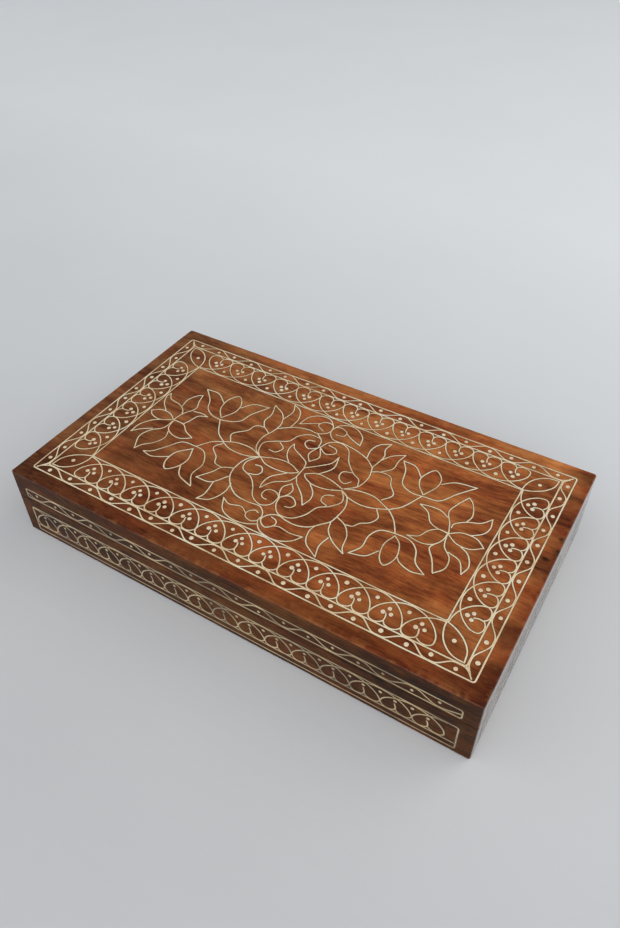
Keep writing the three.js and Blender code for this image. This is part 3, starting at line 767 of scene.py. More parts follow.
def build_top_wave():
    """The wave between the outer and second lines, its pins, and a stem across each corner."""
    gap = OUTER_LINE[0] - SECOND_LINE[0]
    reach = [(a + b) / 2 for a, b in zip(OUTER_LINE, SECOND_LINE)]
    wires, pins = Inlay(GAUGE["wave"]), Inlay(brass="pin")
    for side in SIDES:
        half, out = side_halves(side, *reach)
        drift = WAVE_DRIFT.get(side, 0)
        crests = wave_crests(-half, half, by_length(side, *HALF_WAVES), gap / 2 - TOP_WAVE_GAP, drift)
        place = place_beside(side, out)
        wires.wire([place(u, v) for u, v in wave_path(-half, crests, half)])
        for u, v in crests:
            pins.pin(*place(u + random.uniform(-1.5, 1.5), -0.16 * v))
    stem = [(SECOND_LINE[0] - 0.4, SECOND_LINE[1] - 0.8), (OUTER_LINE[0] - 2, OUTER_LINE[1] - 1.2)]
    for sx in (-1, 1):
        for sy in (-1, 1):
            wires.wire([(sx * x, sy * y) for x, y in stem])
    wires.lay("wire_wave", LID_TOP, "lid", ["inlay_wave"])
    pins.lay("pins_wave", LID_TOP, "lid")


HEART_PITCH = 18.2
# From an arch's foot, as (u, v): on under the next heart and up its stem; back under the last heart;
# and, at the end of a row, round under its own heart.
LOBE_AND_STEM = [(0.4, -0.2), (1.6, -1.9), (4.1, -2.7), (7.1, -1.9), (8.7, -0.4), (8.9, 2), (8.2, 4.4)]
LOBE = [(0.2, -0.2), (2.1, -2.1), (5.2, -2.7), (8, -1.8), (9, -0.4)]
END_LOBE = [(-0.6, -0.6), (-2.8, -2.2), (-6.3, -2.3), (-8.8, -1)]
# Pins inside a heart, from its middle and the arches' feet.
CLUB_PINS = [(-0.6, 8), (-2.7, 4.8), (1.7, 5.1)]
SINGLE_PIN = [(-0.6, 7)]
# The pin between two hearts, as a share of the arches' rise.
BETWEEN_PIN_HEIGHT = 0.73
# An arch is a quarter of an ellipse on each side, made a little slimmer by this power.
ARCH_POWER = 1.08


def heart_row(wires, pins, hearts, pitch, foot, rise, place, club=True):
    """A row of hearts to both sides of u = 0, standing on the line v = 0.

    Arches two hearts wide overlap, so that they cross over the middle of each heart. At its foot
    an arch crosses its neighbour and turns under the next heart as one of its lobes.
    """
    squeeze = pitch / HEART_PITCH
    half = hearts * pitch / 2
    for k in range(hearts + 1):
        at = k * pitch - half
        for toward in (1, -1):
            if (toward == 1 and k == 0) or (toward == -1 and k == hearts):
                continue
            arch = [(pitch * math.cos(t) ** ARCH_POWER, rise * math.sin(t) ** ARCH_POWER)
                    for t in (math.pi / 2 * (1 - n / 6) for n in range(6))]
            end = (toward == 1 and k == hearts) or (toward == -1 and k == 0)
            lobe = END_LOBE if end else LOBE_AND_STEM if toward == 1 else LOBE
            strand = [(u - pitch, foot + v) for u, v in arch] + [(u * squeeze, foot + v) for u, v in lobe]
            wires.wire([place(at + toward * u, v) for u, v in strand])
    # The first heart has no neighbour to give it a stem.
    stem = [(-half + (u - 9) * squeeze + pitch / 2, foot + v) for u, v in LOBE_AND_STEM[-3:]]
    wires.wire([place(u, v) for u, v in stem])
    for k in range(hearts):
        middle = (k + 0.5) * pitch - half
        for u, v in CLUB_PINS if club else SINGLE_PIN:
            pins.pin(*place(middle + u, foot + v))
        if k < hearts - 1:
            pins.pin(*place(middle + pitch / 2, foot + rise * BETWEEN_PIN_HEIGHT))


# The arches' feet above the second line, and what is left between the arches and the inner line.
TOP_FOOT = 3.2
TOP_ARCH_GAP = 0.7


def build_arcades():
    for side in SIDES:
        wires, pins = Inlay(GAUGE["arcade"]), Inlay(brass="pin")
        hearts, pitch = by_length(side, (13, HEART_PITCH), (6, 17.7))
        out = side_halves(side, *SECOND_LINE)[1]
        rise = out - side_halves(side, *INNER_LINE)[1] - TOP_FOOT - TOP_ARCH_GAP
        heart_row(wires, pins, hearts, pitch, TOP_FOOT, rise, place_beside(side, out))
        wires.lay(f"wire_arcade_{side}", LID_TOP, "lid", [f"inlay_arcade_{side}"])
        pins.lay(f"pins_arcade_{side}", LID_TOP, "lid")


def from_corner(sx, sy, u, v):
    """A place on the lid, u and v outwards from the corner of the inner line that two signs name."""
    return sx * (INNER_LINE[0] + u), sy * (INNER_LINE[1] + v)


def build_corner_leaves():
    """A pointed leaf in each corner of the border, with one pin in it."""
    edges = [[(0, 0), (5.5, 2), (11.5, 6), (15.5, 11.5), (16.6, 17.6)],
             [(0, 0), (0.3, 4.5), (2.5, 10.5), (6.5, 15), (11, 17.4), (16.6, 17.9)]]
    pins = Inlay(brass="pin")
    for y_name, sy in (("front", -1), ("back", 1)):
        for x_name, sx in (("left", -1), ("right", 1)):
            leaf = Inlay(GAUGE["leaf"])
            for edge in edges:
                leaf.wire([from_corner(sx, sy, u, v) for u, v in edge])
            corner = f"{y_name}_{x_name}"
            leaf.lay(f"wire_leaf_{corner}", LID_TOP, "lid", [f"inlay_leaf_{corner}"])
            pins.pin(*from_corner(sx, sy, 7.5, 9))
    pins.lay("pins_leaves", LID_TOP, "lid")


# ---------------- inlay: the middle motif

# The points of each curve were read off the flattened photograph, in millimetres from the middle of
# the lid. The four quarters differ a little there, so each has its own curves.
FRONT_RIGHT = [
    # Ovals of the chain along the middle, and the bar across it.
    [(2.3, -0.3), (3.4, -2.1), (10, -5.3), (19.5, -4.8), (28.4, -1)],
    [(28.4, -1), (33.6, -3.9), (43.6, -5.6), (52.3, -3.5), (58.6, -0.5)],
    [(-0.8, 4.6), (-0.8, -5)],
    # Petal, drop and spiral beside the bar.
    [(-0.5, -5.2), (2.3, -9.4), (5.9, -12.5), (10.5, -17.1), (14.4, -22.8)],
    [(9.1, -5.5), (14.5, -11.2), (16, -16.5), (14.4, -22.8)],
    [(0, -11.1), (3.4, -15.5), (2.7, -20.2), (-0.3, -24.4)],
    [(0, -11.1), (-3.1, -15.8), (-2.6, -20.4), (-0.5, -24.4)],
    [(-0.2, -24.4), (1.8, -21.9), (4.5, -20.5), (7.7, -21.2), (10.9, -24.8), (9.5, -28), (6.4, -28.9)],
    # The long S, and the spiral inside it.
    [(-0.2, -24.4), (1.1, -30.3), (6.4, -35.7), (14.1, -34.8), (19.8, -28.5), (22.7, -20.3), (28.6, -15.5),
     (32.7, -9.6), (31.8, -5.5), (28.6, -1.4)],
    [(26.4, -16), (22, -14.3), (21.1, -10.7), (22.7, -8.5), (26.4, -7.1)],
    # The great ring, and the curl it ends in.
    [(28.6, -1), (33.2, -3.9), (36.4, -11.6), (36.4, -18), (35, -25.3), (31.8, -29.4), (26.4, -35.3),
     (20, -37.8), (13.2, -37.8), (6.8, -36.6), (2, -39.2), (0, -43.5), (1.8, -46.4), (5.5, -47.8),
     (9.3, -43.5), (8.2, -40.7), (4.5, -39.6)],
    # Leaves outside the ring, and the wavy edge beside them.
    [(35, -25.3), (37.3, -32.1), (44.1, -38.5), (52.3, -42.4)],
    [(36.4, -20.7), (43.2, -23.9), (47.7, -29.8), (50, -38.9), (52.3, -42.4)],
    [(28.9, -33), (28.2, -38), (30.9, -45.7), (40.5, -52.1)],
    [(39.8, -36.6), (38.4, -44), (40.5, -52.1)],
    [(52.7, -3.9), (56.4, -9.4), (54.3, -15), (49.5, -18.5), (47, -22.4), (42.7, -23.5)],
    [(9.3, -44.6), (12, -43.7), (19.5, -44.6), (27.3, -43.5)],
    [(27.3, -43.5), (23.2, -49.4), (15, -53.2), (4.1, -51.6), (-0.9, -45.7), (-0.8, -43)],
    # The tulip and its stem.
    [(58.6, -0.5), (65, -6.6), (70, -14.8)],
    [(54.5, -40.3), (58.6, -33), (58.2, -23.9), (61.4, -17.3), (70, -15), (79.5, -15.3), (85, -19.8),
     (88.6, -28), (95.9, -33)],
    [(95.9, -33), (88.6, -34.6), (81, -32.1), (78.4, -29.4)],
    [(54.5, -40.3), (63.2, -37.5), (68, -30.7)],
    [(70.7, -16.4), (68.2, -25), (70.5, -34.8), (74.5, -38.2), (78, -31), (75.5, -20.7), (70.7, -16.4)],
]
FRONT_LEFT = [
    [(-57.5, -1.6), (-49.5, -4.9), (-37.7, -4.8), (-29.1, -1.2)],
    [(-29.1, -1.2), (-23.2, -4.8), (-12, -5.5), (-5.9, -3.9), (-2, -1.2)],
    [(-0.7, -5.2), (-3.2, -10.3), (-10.5, -15.7), (-14.6, -23.4)],
    [(-7.7, -5.3), (-14.5, -13), (-15.5, -19.4), (-14.6, -23.4)],
    [(-0.9, -24.3), (-3.5, -22), (-6.4, -21.4), (-10, -22.8), (-10.7, -27), (-8.6, -29.4), (-5.9, -29.6)],
    [(-0.6, -24.4), (-1.4, -31.2), (-6.4, -34.8), (-14.1, -31.6), (-18.2, -25.3), (-24.1, -18.9),
     (-32.7, -14.8), (-34, -9), (-30, -2.3)],
    [(-28.6, -17.3), (-22.3, -15.3), (-20.9, -12), (-23.6, -8.2), (-27.7, -8.5)],
    [(-30.5, -2), (-35, -6.2), (-37.2, -15.3), (-35.9, -23.5), (-30.9, -30.3), (-23.2, -35.7),
     (-13.6, -36.6), (-5.5, -36.2), (-0.9, -41.2), (-1.4, -46), (-4.5, -48), (-9, -46.5), (-9.8, -43),
     (-6.4, -39.8), (-4.1, -40.7)],
    [(-36.1, -25.3), (-42.3, -34.4), (-52.5, -35.5)],
    [(-37.7, -17.8), (-44.1, -21), (-46.6, -26.6), (-52.5, -35.5)],
    [(-31.1, -29.4), (-30.2, -36.6), (-34.1, -46.2), (-41.4, -49.6)],
    [(-40.9, -33.9), (-39.5, -44.8), (-41.4, -49.6)],
    [(-56.4, -3), (-59.3, -8.5), (-52.7, -15), (-50, -19.8), (-44.1, -21)],
    [(-9.8, -44.8), (-15, -41.6), (-22.5, -43.5), (-28, -41)],
    [(-28, -41), (-22.7, -49.4), (-15, -52.3), (-5.9, -51.4), (0, -48.5)],
    [(-57.2, -1.6), (-63, -4.9), (-68.9, -13.4)],
    [(-50.6, -43.4), (-56, -35), (-55.6, -24.7), (-62, -15.1), (-70.6, -13.7), (-79.1, -14.9),
     (-85.3, -24.2), (-90.6, -31.3), (-94.9, -33.7)],
    [(-94.9, -33.7), (-87.7, -34.9), (-77.7, -29.7)],
    [(-66.8, -32.3), (-62, -39.4), (-50.6, -43.4)],
    [(-69.4, -16.2), (-76.8, -25.1), (-77, -34.2), (-73.2, -39.4), (-68.2, -34.7), (-66, -27),
     (-69.4, -16.2)],
]
BACK_LEFT = [
    [(-57.3, -1.3), (-48.6, 2.3), (-38.6, 2.5), (-29.1, -1.1)],
    [(-29.1, -1.1), (-18.6, 2.8), (-9.5, 2.8), (-2, -0.6)],
    [(-1.2, 4.6), (-2.3, 8.5), (-8.2, 12.3), (-15.5, 16.2), (-17.5, 19.6)],
    [(-10.9, 3), (-15.9, 8.5), (-18, 14.5), (-17.5, 19.6)],
    [(-1.4, 10.7), (-5, 16.2), (-3, 24)],
    [(-1.4, 10.7), (2.3, 16.5), (-1.2, 23.8)],
    [(-3, 23.5), (-8.2, 20.5), (-12.3, 23.9), (-11.5, 27.2), (-7.7, 28.2)],
    [(-3, 24), (-4.5, 30.7), (-9.8, 35.3)],
    [(-6.6, 32.4), (-13.6, 32.1), (-19.3, 27.1), (-21.8, 20.3), (-29.5, 15.5), (-34.8, 10.7),
     (-33.6, 3.5), (-31, 0)],
    [(-25.9, 16.2), (-21.4, 12.5), (-23.6, 7.3), (-28.2, 7.1)],
    [(-31.5, -0.3), (-36.4, 4.8), (-38.2, 14.8), (-35.5, 23.9), (-35, 31.6), (-39.5, 40.3), (-48.6, 45.5)],
    [(-48.6, 45.5), (-45.5, 36.2), (-46.1, 28.9), (-42.7, 23.5)],
    [(-53.2, 1), (-56.8, 7.5), (-50, 15.5), (-48.2, 21.6), (-42.7, 23.2), (-37, 19.8)],
    [(-36.6, 36.4), (-35, 46), (-37.7, 52.6)],
    [(-37.7, 52.6), (-31.4, 48.9), (-28, 41.2), (-28.2, 32.5)],
    [(-34.6, 26.6), (-25.9, 33.2), (-17.3, 35.7), (-9.5, 35.7), (-4.3, 40.3), (-5, 46.6), (-8.2, 48.2),
     (-12.5, 46.5), (-13.6, 42.5), (-8.6, 39.4)],
    [(-13.6, 44.8), (-19.5, 41.4), (-25, 37.8)],
    [(-25, 37.8), (-23.2, 46.2), (-17.3, 51.4), (-10, 51.6), (-4.5, 46.2)],
    [(-56.8, -1.4), (-63.9, 3.3), (-71.5, 14.8)],
    [(-97.7, 36.5), (-89.6, 28.1), (-84.9, 20), (-77.2, 15.5), (-67.2, 16), (-59.6, 20.5), (-57, 29.5),
     (-50.6, 41.4)],
    [(-97.7, 36.5), (-88.7, 36.7), (-79.6, 30.5)],
    [(-66.8, 31.7), (-61.5, 39), (-50.6, 41.4)],
    [(-72.2, 16.8), (-78, 24.5), (-78.9, 34.3), (-74.4, 41), (-69.1, 35.7), (-67.5, 27.1), (-72.2, 16.8)],
]
BACK_RIGHT = [
    [(2.3, 0.3), (8.2, 3.7), (17.7, 3.5), (27.7, 0.3)],
    [(28.4, 0.8), (37.3, 3.9), (47.3, 4.1), (58, -0.5)],
    [(-0.6, 4.4), (5.9, 10.3), (11.4, 16.2), (12.7, 23.2)],
    [(9.1, 3.7), (14.6, 13), (12.7, 23.2)],
    [(-1.8, 24.8), (4.1, 21.4), (9.1, 25.3), (7.5, 28.4), (1.8, 29.4)],
    [(-2.2, 24.4), (0.9, 32.1), (7.7, 34.8), (14.1, 32.1), (19.8, 22.5), (26.8, 15.3), (32.3, 12.1),
     (34.1, 7.1)],
    [(26.8, 15.5), (20.9, 13), (21.4, 7.5), (26.4, 4.8), (29.3, 8.2)],
    [(28.6, 1), (34.5, 6.6), (36.6, 16.2), (34.5, 25.3)],
    [(34.5, 25.3), (28.2, 30.5), (19.5, 33.7), (10, 35.3), (0.9, 35.7), (-3.6, 41.2), (-2.7, 46.6),
     (0.9, 47.8), (5.5, 45.5), (5.5, 41.6), (0.5, 40.5)],
    [(27.7, 30.7), (26.4, 38.5), (28.6, 45.7), (35, 50.3)],
    [(35, 50.3), (33.9, 43.9), (36.1, 38), (34.3, 25.7)],
    [(35.9, 33.5), (40, 40.7), (47, 45.7)],
    [(47, 45.7), (45.7, 38.9), (45.5, 30.7), (40.5, 24.8)],
    [(35.9, 22.1), (40.9, 24.6), (47.7, 23.7), (50.5, 18), (55.7, 11), (51.6, 4.1)],
    [(5.9, 44.8), (11.4, 41.6), (18.4, 39.1)],
    [(18.4, 39.1), (15.9, 47.1), (6.4, 52.6), (-1.4, 49.4), (-3.7, 44.5)],
    [(58.6, -0.5), (64.1, 5), (70.5, 18.9)],
    [(48.2, 40.6), (52.5, 33.9), (56.4, 22.1), (63.2, 18.5), (72.7, 19.1), (80.5, 20.5), (87.3, 30.9),
     (95.5, 41.4)],
    [(48.2, 40.6), (56.4, 39.8), (63.2, 33)],
    [(76.1, 33.6), (82.7, 39.1), (95.5, 41.4)],
    [(70.5, 20), (65, 26.8), (63.6, 33), (68.6, 42.7), (74.1, 38.2), (75, 31), (70.5, 20)],
]

RIGHT_STAR = [
    [(95, 0), (89.5, 0.4), (85, -3.5), (81.8, -9.8), (75.9, -12.5)],
    [(75.9, -12.5), (85.5, -13.7), (91.4, -11.2), (94.5, -6.2), (95, -0.7)],
    [(91.6, -11.2), (90.5, -14.4), (95, -21.2), (99.3, -29.8)],
    [(99.3, -29.8), (103.6, -23.5), (102.7, -15.7), (97.3, -9.8), (95, -0.7)],
    [(100.5, -12.3), (108.2, -14.8), (112.6, -22.8)],
    [(112.6, -22.8), (114.1, -16.2), (110.5, -8.5), (104.5, -5)],
    [(95.5, -0.4), (102.3, -4.6), (110, -4.4), (116.1, 0)],
    [(116.1, 0), (110.5, 4.3), (101.4, 4.3), (95.5, 0.4)],
    [(106.4, 5), (112.3, 10), (113.9, 15), (112.5, 22.5)],
    [(112.5, 22.5), (108.2, 16.8), (100.5, 13), (95, 8.2), (94.8, 5)],
    [(100.5, 13), (101.8, 19), (97.7, 29), (94.6, 31.6)],
    [(94.6, 31.6), (90.5, 22.7), (88.9, 15.5), (92.7, 7.7), (95.3, 0.5)],
    [(89.8, 11.4), (84.5, 14.1), (77.3, 13.9), (72.3, 12.7)],
    [(72.3, 12.7), (78.6, 9.3), (83.2, 2.7), (88.6, 0.5), (95, 0.5)],
]
LEFT_STAR = [
    [(-97, -0.4), (-89.1, -0.9), (-83.4, -5.6), (-76.3, -8.7)],
    [(-76.3, -8.7), (-82.5, -12.8), (-89.6, -12.5), (-95.3, -8.5), (-97, -0.5)],
    [(-93.4, -11.1), (-91.3, -17), (-93.9, -24), (-99.6, -29.9), (-101.5, -34.7)],
    [(-101.5, -34.7), (-106.3, -23.7), (-103.4, -15.6), (-98.2, -10.4), (-97, -2)],
    [(-103.9, -14.2), (-110.1, -18.5), (-114.1, -23)],
    [(-114.1, -23), (-113.7, -15.1), (-109.1, -7.5), (-105.8, -5.1)],
    [(-98.2, -0.6), (-105.8, -4.7), (-113.4, -3.2), (-116.3, 0)],
    [(-116.3, 0), (-110.6, 3.8), (-103.4, 3.3), (-98.2, 0)],
    [(-107.7, 4.3), (-114.4, 11), (-117, 17.6), (-116.3, 20.5)],
    [(-116.3, 20.5), (-112.5, 15.7), (-103.9, 14), (-98.2, 10), (-96.8, 7.4)],
    [(-101.5, 13.6), (-102.2, 21), (-99.1, 27.6), (-96.3, 29.5)],
    [(-96.3, 29.5), (-94.6, 22.9), (-92, 16.2), (-96.3, 7.1), (-97.5, 0)],
    [(-91.5, 13.1), (-84.9, 14), (-80.1, 13.1)],
    [(-80.1, 13.1), (-85.8, 10.5), (-88, 3.3), (-89.4, -0.4)],
]


def build_motifs():
    motifs = {
        "medallion": FRONT_RIGHT + FRONT_LEFT + BACK_LEFT + BACK_RIGHT,
        "star_right": RIGHT_STAR,
        "star_left": LEFT_STAR,
    }
    for name, paths in motifs.items():
        motif = Inlay(GAUGE["motif"])
        for path in paths:
            motif.wire(path)
        motif.lay(f"wire_{name}", LID_TOP, "lid", [f"inlay_{name}"])


# ---------------- inlay: the sides


def band_box(part, side):
    """The middle of the wire round a side's band: where it starts and ends, its foot and its top."""
    low, high = node_box(f"inlay_{part}_line_{side}")
    half = side_halves(side, high.x, high.y)[0] - WIRE_WIDTH / 2
    return half, low.z + WIRE_WIDTH / 2, high.z - WIRE_WIDTH / 2


def side_inlay(kind):
    """Inlay on the sides is darker than on the top, as painted shade, and lies flatter."""
    return Inlay(GAUGE[kind], brass="side_wire_painted_shade", relief=SIDE_RELIEF)


def start_band(part, side):
    """A band's wires, with the line round it, its pins, and the line's half length, foot and top."""
    half, low, high = band_box(part, side)
    wires, pins = side_inlay("side"), side_inlay(f"{part}_pins")
    wires.wire(rounded_rectangle(-half, half, low, high, BAND_CORNER), closed=True, smooth=False)
    return wires, pins, half, low, high


def lay_band(part, side, wires, pins, motif):
    nodes = [f"inlay_{part}_line_{side}", f"inlay_{part}_{motif}_{side}"]
    wires.lay(f"wire_{part}_band_{side}", face_surface(side), part, nodes)
    pins.lay(f"pins_{part}_band_{side}", face_surface(side), part)


# How far inside the line's ends the wires within a band stop, and the crests of the front's wave.
BAND_END = 1
FRONT_CRESTS_END = 4


def build_lid_band(side):
    """A line round the lid's rail, with a wave and pins inside it."""
    wires, pins, half, low, high = start_band("lid", side)
    middle = (low + high) / 2
    # The front's wave was set out a little short, and its last half wave stretched to the end.
    start, end = BAND_END - half, half - BAND_END
    crests_end = half - FRONT_CRESTS_END if side == "front" else end
    height = (high - low) / 2 - BAND_WAVE_GAP
    crests = wave_crests(start, crests_end, by_length(side, *HALF_WAVES), height)
    wires.wire([(u, middle - v) for u, v in wave_path(start, crests, end)])
    for u, v in crests:
        pins.pin(u + random.uniform(-0.6, 0.6), middle + 0.3 * v)
    lay_band("lid", side, wires, pins, "wave")


# The hearts' ground line above the foot of the case's band, the arches' feet above that, and what is
# left over the arches.
GROUND_RISE = 4.5
CASE_FOOT = 3
CASE_ARCH_GAP = 0.5
HEARTS_END = 1.5
# The front's hearts are a little closer and further left, and widen to the right by the square.
FRONT_SCALE, FRONT_GROWTH, FRONT_SHIFT = 0.985, 2.6, 5


def build_case_band(side):
    """A line round the case's wall, with a ground line and a row of hearts and pins inside it."""
    wires, pins, half, low, high = start_band("case", side)
    ground = low + GROUND_RISE
    wires.wire([(-half + BAND_END + (half - BAND_END) * k / 30, ground) for k in range(61)], smooth=False)
    hearts = by_length(side, 16, 9)
    pitch = 2 * (half - HEARTS_END) / hearts

    def place(u, v):
        """On the front the hearts run out before the right end, and grow a little wider towards it."""
        if side == "front":
            u = FRONT_SCALE * u + FRONT_GROWTH * (u / half) ** 2 - FRONT_SHIFT
        return u, ground + v

    rise = high - ground - CASE_FOOT - CASE_ARCH_GAP
    heart_row(wires, pins, hearts, pitch, CASE_FOOT, rise, place, club=False)
    lay_band("case", side, wires, pins, "hearts")


# ---------------- hinges

BARREL_RADIUS = 2.2
BARREL_GAP = 0.2
PIN_RADIUS = 0.9
PIN_CLEARANCE = 0.08
PIN_DOME = 0.35
LEAF_THICKNESS = 0.9
# Half of the gap between the two leaves, and of the one between two knuckles.
HALF_GAP = 0.15
# A knuckle's roll stops at this share of the half turn under the pin, and its root reaches this far
# behind the barrel, past the edge of the plate.
ROLL = 0.96
ROOT_REACH = 1.4


def extruded(outline, span):
    """Vertices and faces of a (y, z) outline drawn out along X."""
    return [(x, y, z) for x in span for y, z in outline], tube(2, len(outline))


def knuckle_outline(up):
    """A leaf's edge rolled round the pin, seen along the pin: it stops just short of closing."""
    inner, outer = PIN_RADIUS + PIN_CLEARANCE, BARREL_RADIUS
    near, far = HALF_GAP, HALF_GAP + LEAF_THICKNESS
    start, end = math.pi - math.asin(far / outer), -math.pi * ROLL
    turns = [start + (end - start) * k / 30 for k in range(31)]
    outside = [(outer * math.cos(t), outer * math.sin(t)) for t in turns]
    start = math.pi - math.asin(near / inner)
    turns = [end + (start - end) * k / 24 for k in range(25)]
    inside = [(inner * math.cos(t), inner * math.sin(t)) for t in turns]
    back = -BARREL_RADIUS - ROOT_REACH
    outline = [(back, far), *outside, *inside, (back, near)]
    return [(y, up * z) for y, z in outline]


def leaf_plate(low, high, radius=0.6):
    """The flat of a leaf, its corners a little rounded in plan."""
    path = rounded_rectangle(low.x, high.x, low.y, high.y, radius, spacing=40)
    return [(x, y, z) for z in (low.z, high.z) for x, y in path], tube(2, len(path))


def bevelled(piece, width, segments=2):
    """Rounds a piece's sharp edges."""
    modifier = piece.modifiers.new("soft_edges", "BEVEL")
    modifier.width = width * MM
    modifier.segments = segments
    modifier.angle_limit = math.radians(40)
    modifier.harden_normals = True


def build_leaf(name, body, up):
    """One leaf: its plate and its rolled knuckles, in place of the CAD leaf."""
    low, high = node_box(f"hinge_{name}_{body}_leaf")
    axis_y, axis_z = [c / MM for c in frame["joints"][0]["pos_m"][1:]]
    length = high.x - low.x
    third = length / 3
    spans = [(low.x, low.x + third - HALF_GAP), (high.x - third + HALF_GAP, high.x)]
    if up > 0:
        middle = node_box(f"hinge_{name}_case_leaf")
        centre, width = (middle[0].x + middle[1].x) / 2, (middle[1].x - middle[0].x) / 3
        spans = [(centre - width / 2 + HALF_GAP, centre + width / 2 - HALF_GAP)]
    back = axis_y - BARREL_RADIUS - BARREL_GAP
    near, far = sorted((axis_z + up * HALF_GAP, axis_z + up * (HALF_GAP + LEAF_THICKNESS)))
    vertices, faces = leaf_plate(Vector((low.x, low.y, near)), Vector((high.x, back, far)))
    for span in spans:
        outline = [(axis_y + y, axis_z + z) for y, z in knuckle_outline(up)]
        more, sides = extruded(outline, span)
        faces += [tuple(len(vertices) + i for i in face) for face in sides]
        vertices += more
    leaf = add_piece(f"{name}_hinge_{body}_leaf", vertices, faces, ["hinge"], body,
                     [f"hinge_{name}_{body}_leaf"])
    sharpen(leaf, 35)
    bevelled(leaf, 0.12)


def lathe(profile, around=28):
    """Vertices and faces of a profile of (radius, height) turned about Z."""
    vertices = [(r * math.cos(t), r * math.sin(t), z) for r, z in profile
                for t in (2 * math.pi * k / around for k in range(around))]
    return vertices, tube(len(profile), around)


def build_pin(name):
    """The hinge pin, with its two domed ends."""
    low, high = node_box(f"hinge_{name}_pin")
    half = (high.x - low.x) / 2
    turns = [math.pi / 2 * k / 5 for k in range(5)]
    dome = [(PIN_RADIUS * math.cos(t), PIN_DOME * math.sin(t)) for t in turns]
    upper = [(r, half - PIN_DOME + z) for r, z in dome]
    profile = [(r, -z) for r, z in reversed(upper)] + upper
    vertices, faces = lathe(profile)
    middle = (low + high) / 2
    turned = [Vector((z, x, y)) + middle for x, y, z in vertices]
    add_piece(f"{name}_hinge_pin", turned, faces, ["hinge"], "case", [f"hinge_{name}_pin"])


def screw_mesh():
    """A countersunk screw with a slot across its head, head at z = 0 and point below."""
    head, shank, length, thread = 1.9, 0.95, 7, 0.9
    slot_size = (6, 0.55, 0.8)
    profile = [(0.05, -length)]
    turns = 6
    for k in range(turns):
        z = -length + 0.8 + k * (length - 2) / turns
        profile += [(shank * 0.72, z), (shank, z + thread / 3), (shank * 0.72, z + thread * 0.7)]
    profile += [(shank * 0.8, -1.0), (head * 0.92, -0.1), (head, -0.03), (head * 0.97, 0)]
    vertices, faces = lathe(profile)
    mesh = bpy.data.meshes.new("slotted_screw")
    mesh.from_pydata([tuple(c * MM for c in v) for v in vertices], [], faces)
    mesh.materials.append(MATERIALS["hinge"])
    solid = new_object("screw_blank", mesh)
    slot = bpy.data.meshes.new("slot")
    cutter = bmesh.new()
    bmesh.ops.create_cube(cutter, size=1, matrix=Matrix.Diagonal((*[c * MM for c in slot_size], 1)))
    cutter.to_mesh(slot)
    cutter.free()
    blade = new_object("slot_cutter", slot)
    cut = solid.modifiers.new("slot", "BOOLEAN")
    cut.operation = "DIFFERENCE"
    cut.object = blade
    bpy.context.view_layer.update()
    made = bpy.data.meshes.new_from_object(solid.evaluated_get(bpy.context.evaluated_depsgraph_get()))
    for item in (solid, blade):
        bpy.data.objects.remove(item)
    made.polygons.foreach_set("use_smooth", [True] * len(made.polygons))
    made.set_sharp_from_angle(angle=math.radians(35))
    return made


def build_hinges():
    mesh = screw_mesh()
    for name in ("left", "right"):
        build_pin(name)
        for body, up in (("case", -1), ("lid", 1)):
            build_leaf(name, body, up)
            for number in (1, 2):
                node = f"hinge_{name}_{body}_screw_{number}"
                low, high = node_box(node)
                screw = new_object(f"{name}_hinge_{body}_screw_{number}", mesh)
                head = low.z if up > 0 else high.z
                place = Vector(((low.x + high.x) / 2, (low.y + high.y) / 2, head)) * MM
                flip = Matrix.Rotation(math.pi if up > 0 else 0, 4, "X")
                turn = Matrix.Rotation(random.uniform(0, math.pi), 4, "Z")
                screw.matrix_world = Matrix.Translation(place) @ flip @ turn
                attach(screw, body)
                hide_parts(node)


# ---------------- stage, lights and camera


FLOOR_HALF = 4


def build_stage():
    """A wide pale painted floor, with painted light that makes it brighter to the back."""
    mesh = bpy.data.meshes.new("floor")
    corners = [(x * FLOOR_HALF, y * FLOOR_HALF, 0) for x, y in ((-1, -1), (1, -1), (1, 1), (-1, 1))]
    mesh.from_pydata(corners, [], [(0, 1, 2, 3)])
    floor = new_object("floor", mesh)
    pale = Surface("pale_floor", Roughness=0.55)
    cloud = pale.noise((6, 6, 6), detail=3)
    back = pale.node("ShaderNodeSeparateXYZ", {0: pale.place}).outputs[1]
    # Painted light: the floor's colour brightens towards the back; the cloud adds its own uneven tone.
    shade = pale.weighted((pale.between(back, -0.2, 0.5), 0.9), (cloud, 0.16))
    colour = pale.ramp(shade, [(0.05, (0.645, 0.65, 0.655)), (1.0, (0.93, 0.95, 0.955))])
    brushed = pale.noise((6, 160, 6), turn=0.5, detail=4)
    mesh.materials.append(pale.finish(colour, normal=pale.bump(brushed, 0.0004, 0.3)))


def area_light(name, place, aim, size, watts, colour):
    data = bpy.data.lights.new(name, "AREA")
    data.shape = "DISK"
    data.size = size
    data.energy = watts
    data.color = colour
    light = new_object(name, data)
    light.location = place
    light.rotation_euler = (Vector(aim) - Vector(place)).to_track_quat("-Z", "Y").to_euler()


# Towards the back left, 43 degrees up.
DIM_SIDE = (-0.38, 0.625, 0.682)


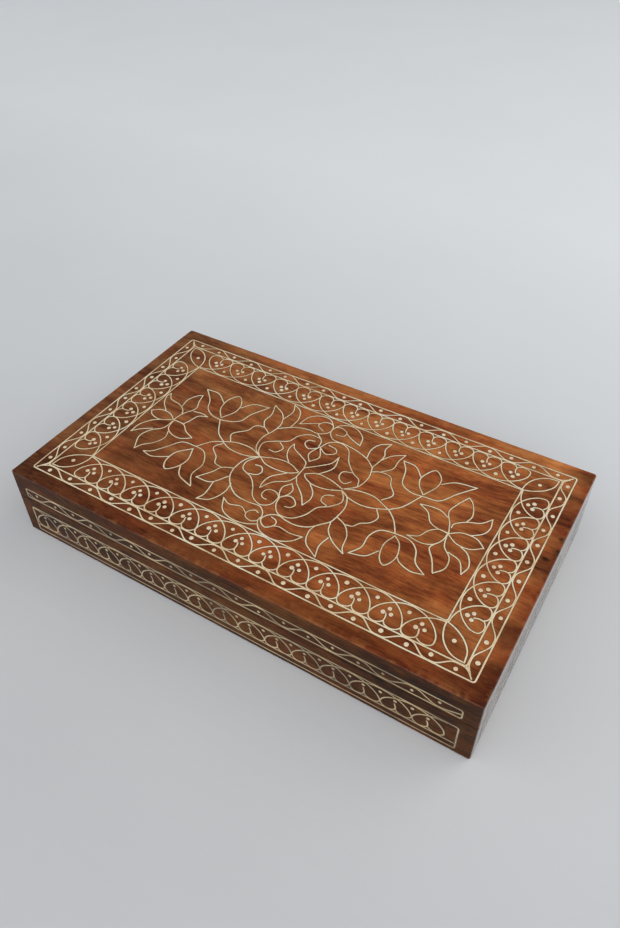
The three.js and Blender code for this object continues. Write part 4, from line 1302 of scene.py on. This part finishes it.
def build_lights():
    """A soft bright room that is dim on the side the lid mirrors to the camera, and two large lamps."""
    world = bpy.data.worlds.new("soft_room")
    world.use_nodes = True
    room = world.node_tree
    background = room.nodes["Background"]
    background.inputs["Color"].default_value = (0.91, 0.93, 0.96, 1)
    toward = room.nodes.new("ShaderNodeVectorMath")
    toward.operation = "DOT_PRODUCT"
    toward.inputs[1].default_value = DIM_SIDE
    dimming = room.nodes.new("ShaderNodeMapRange")
    for socket, value in (("From Min", 0.5), ("From Max", 0.95), ("To Min", 0.95), ("To Max", 0.06)):
        dimming.inputs[socket].default_value = value
    place = room.nodes.new("ShaderNodeTexCoord").outputs["Generated"]
    room.links.new(place, toward.inputs[0])
    room.links.new(toward.outputs["Value"], dimming.inputs["Value"])
    room.links.new(dimming.outputs[0], background.inputs["Strength"])
    bpy.context.scene.world = world
    area_light("window", place=(0.85, 1.0, 1.15), aim=(0, 0, 0.03), size=1.3, watts=4,
               colour=(1.0, 0.98, 0.96))
    area_light("front_fill", place=(0.5, -1.1, 1.1), aim=(0, 0, 0), size=1.6, watts=5,
               colour=(0.97, 0.98, 1.0))


# The camera's place in metres, its tilt, roll and heading in degrees, and its lens.
CAMERA_PLACE = (0.1782, -0.2782, 0.3685)
CAMERA_TURN = (46.75, 0.492, 31.31)
LENS = 29.6


def build_camera():
    """The camera, in front of the front right corner and above it, looking down at the box."""
    data = bpy.data.cameras.new("camera")
    data.lens = LENS
    data.clip_start = 0.02
    camera = new_object("camera", data)
    camera.location = CAMERA_PLACE
    camera.rotation_euler = [math.radians(angle) for angle in CAMERA_TURN]
    bpy.context.scene.camera = camera


build_carcass()
build_felt("base_felt", "base_lining", "case")
build_felt("lid_felt", "lid_lining", "lid")
build_frame_lines()
build_top_wave()
build_arcades()
build_corner_leaves()
build_motifs()
for side in SIDES:
    build_lid_band(side)
    build_case_band(side)
build_hinges()
build_stage()
build_lights()
build_camera()
bpy.context.scene.view_settings.view_transform = "Standard"

bpy.context.view_layer.update()
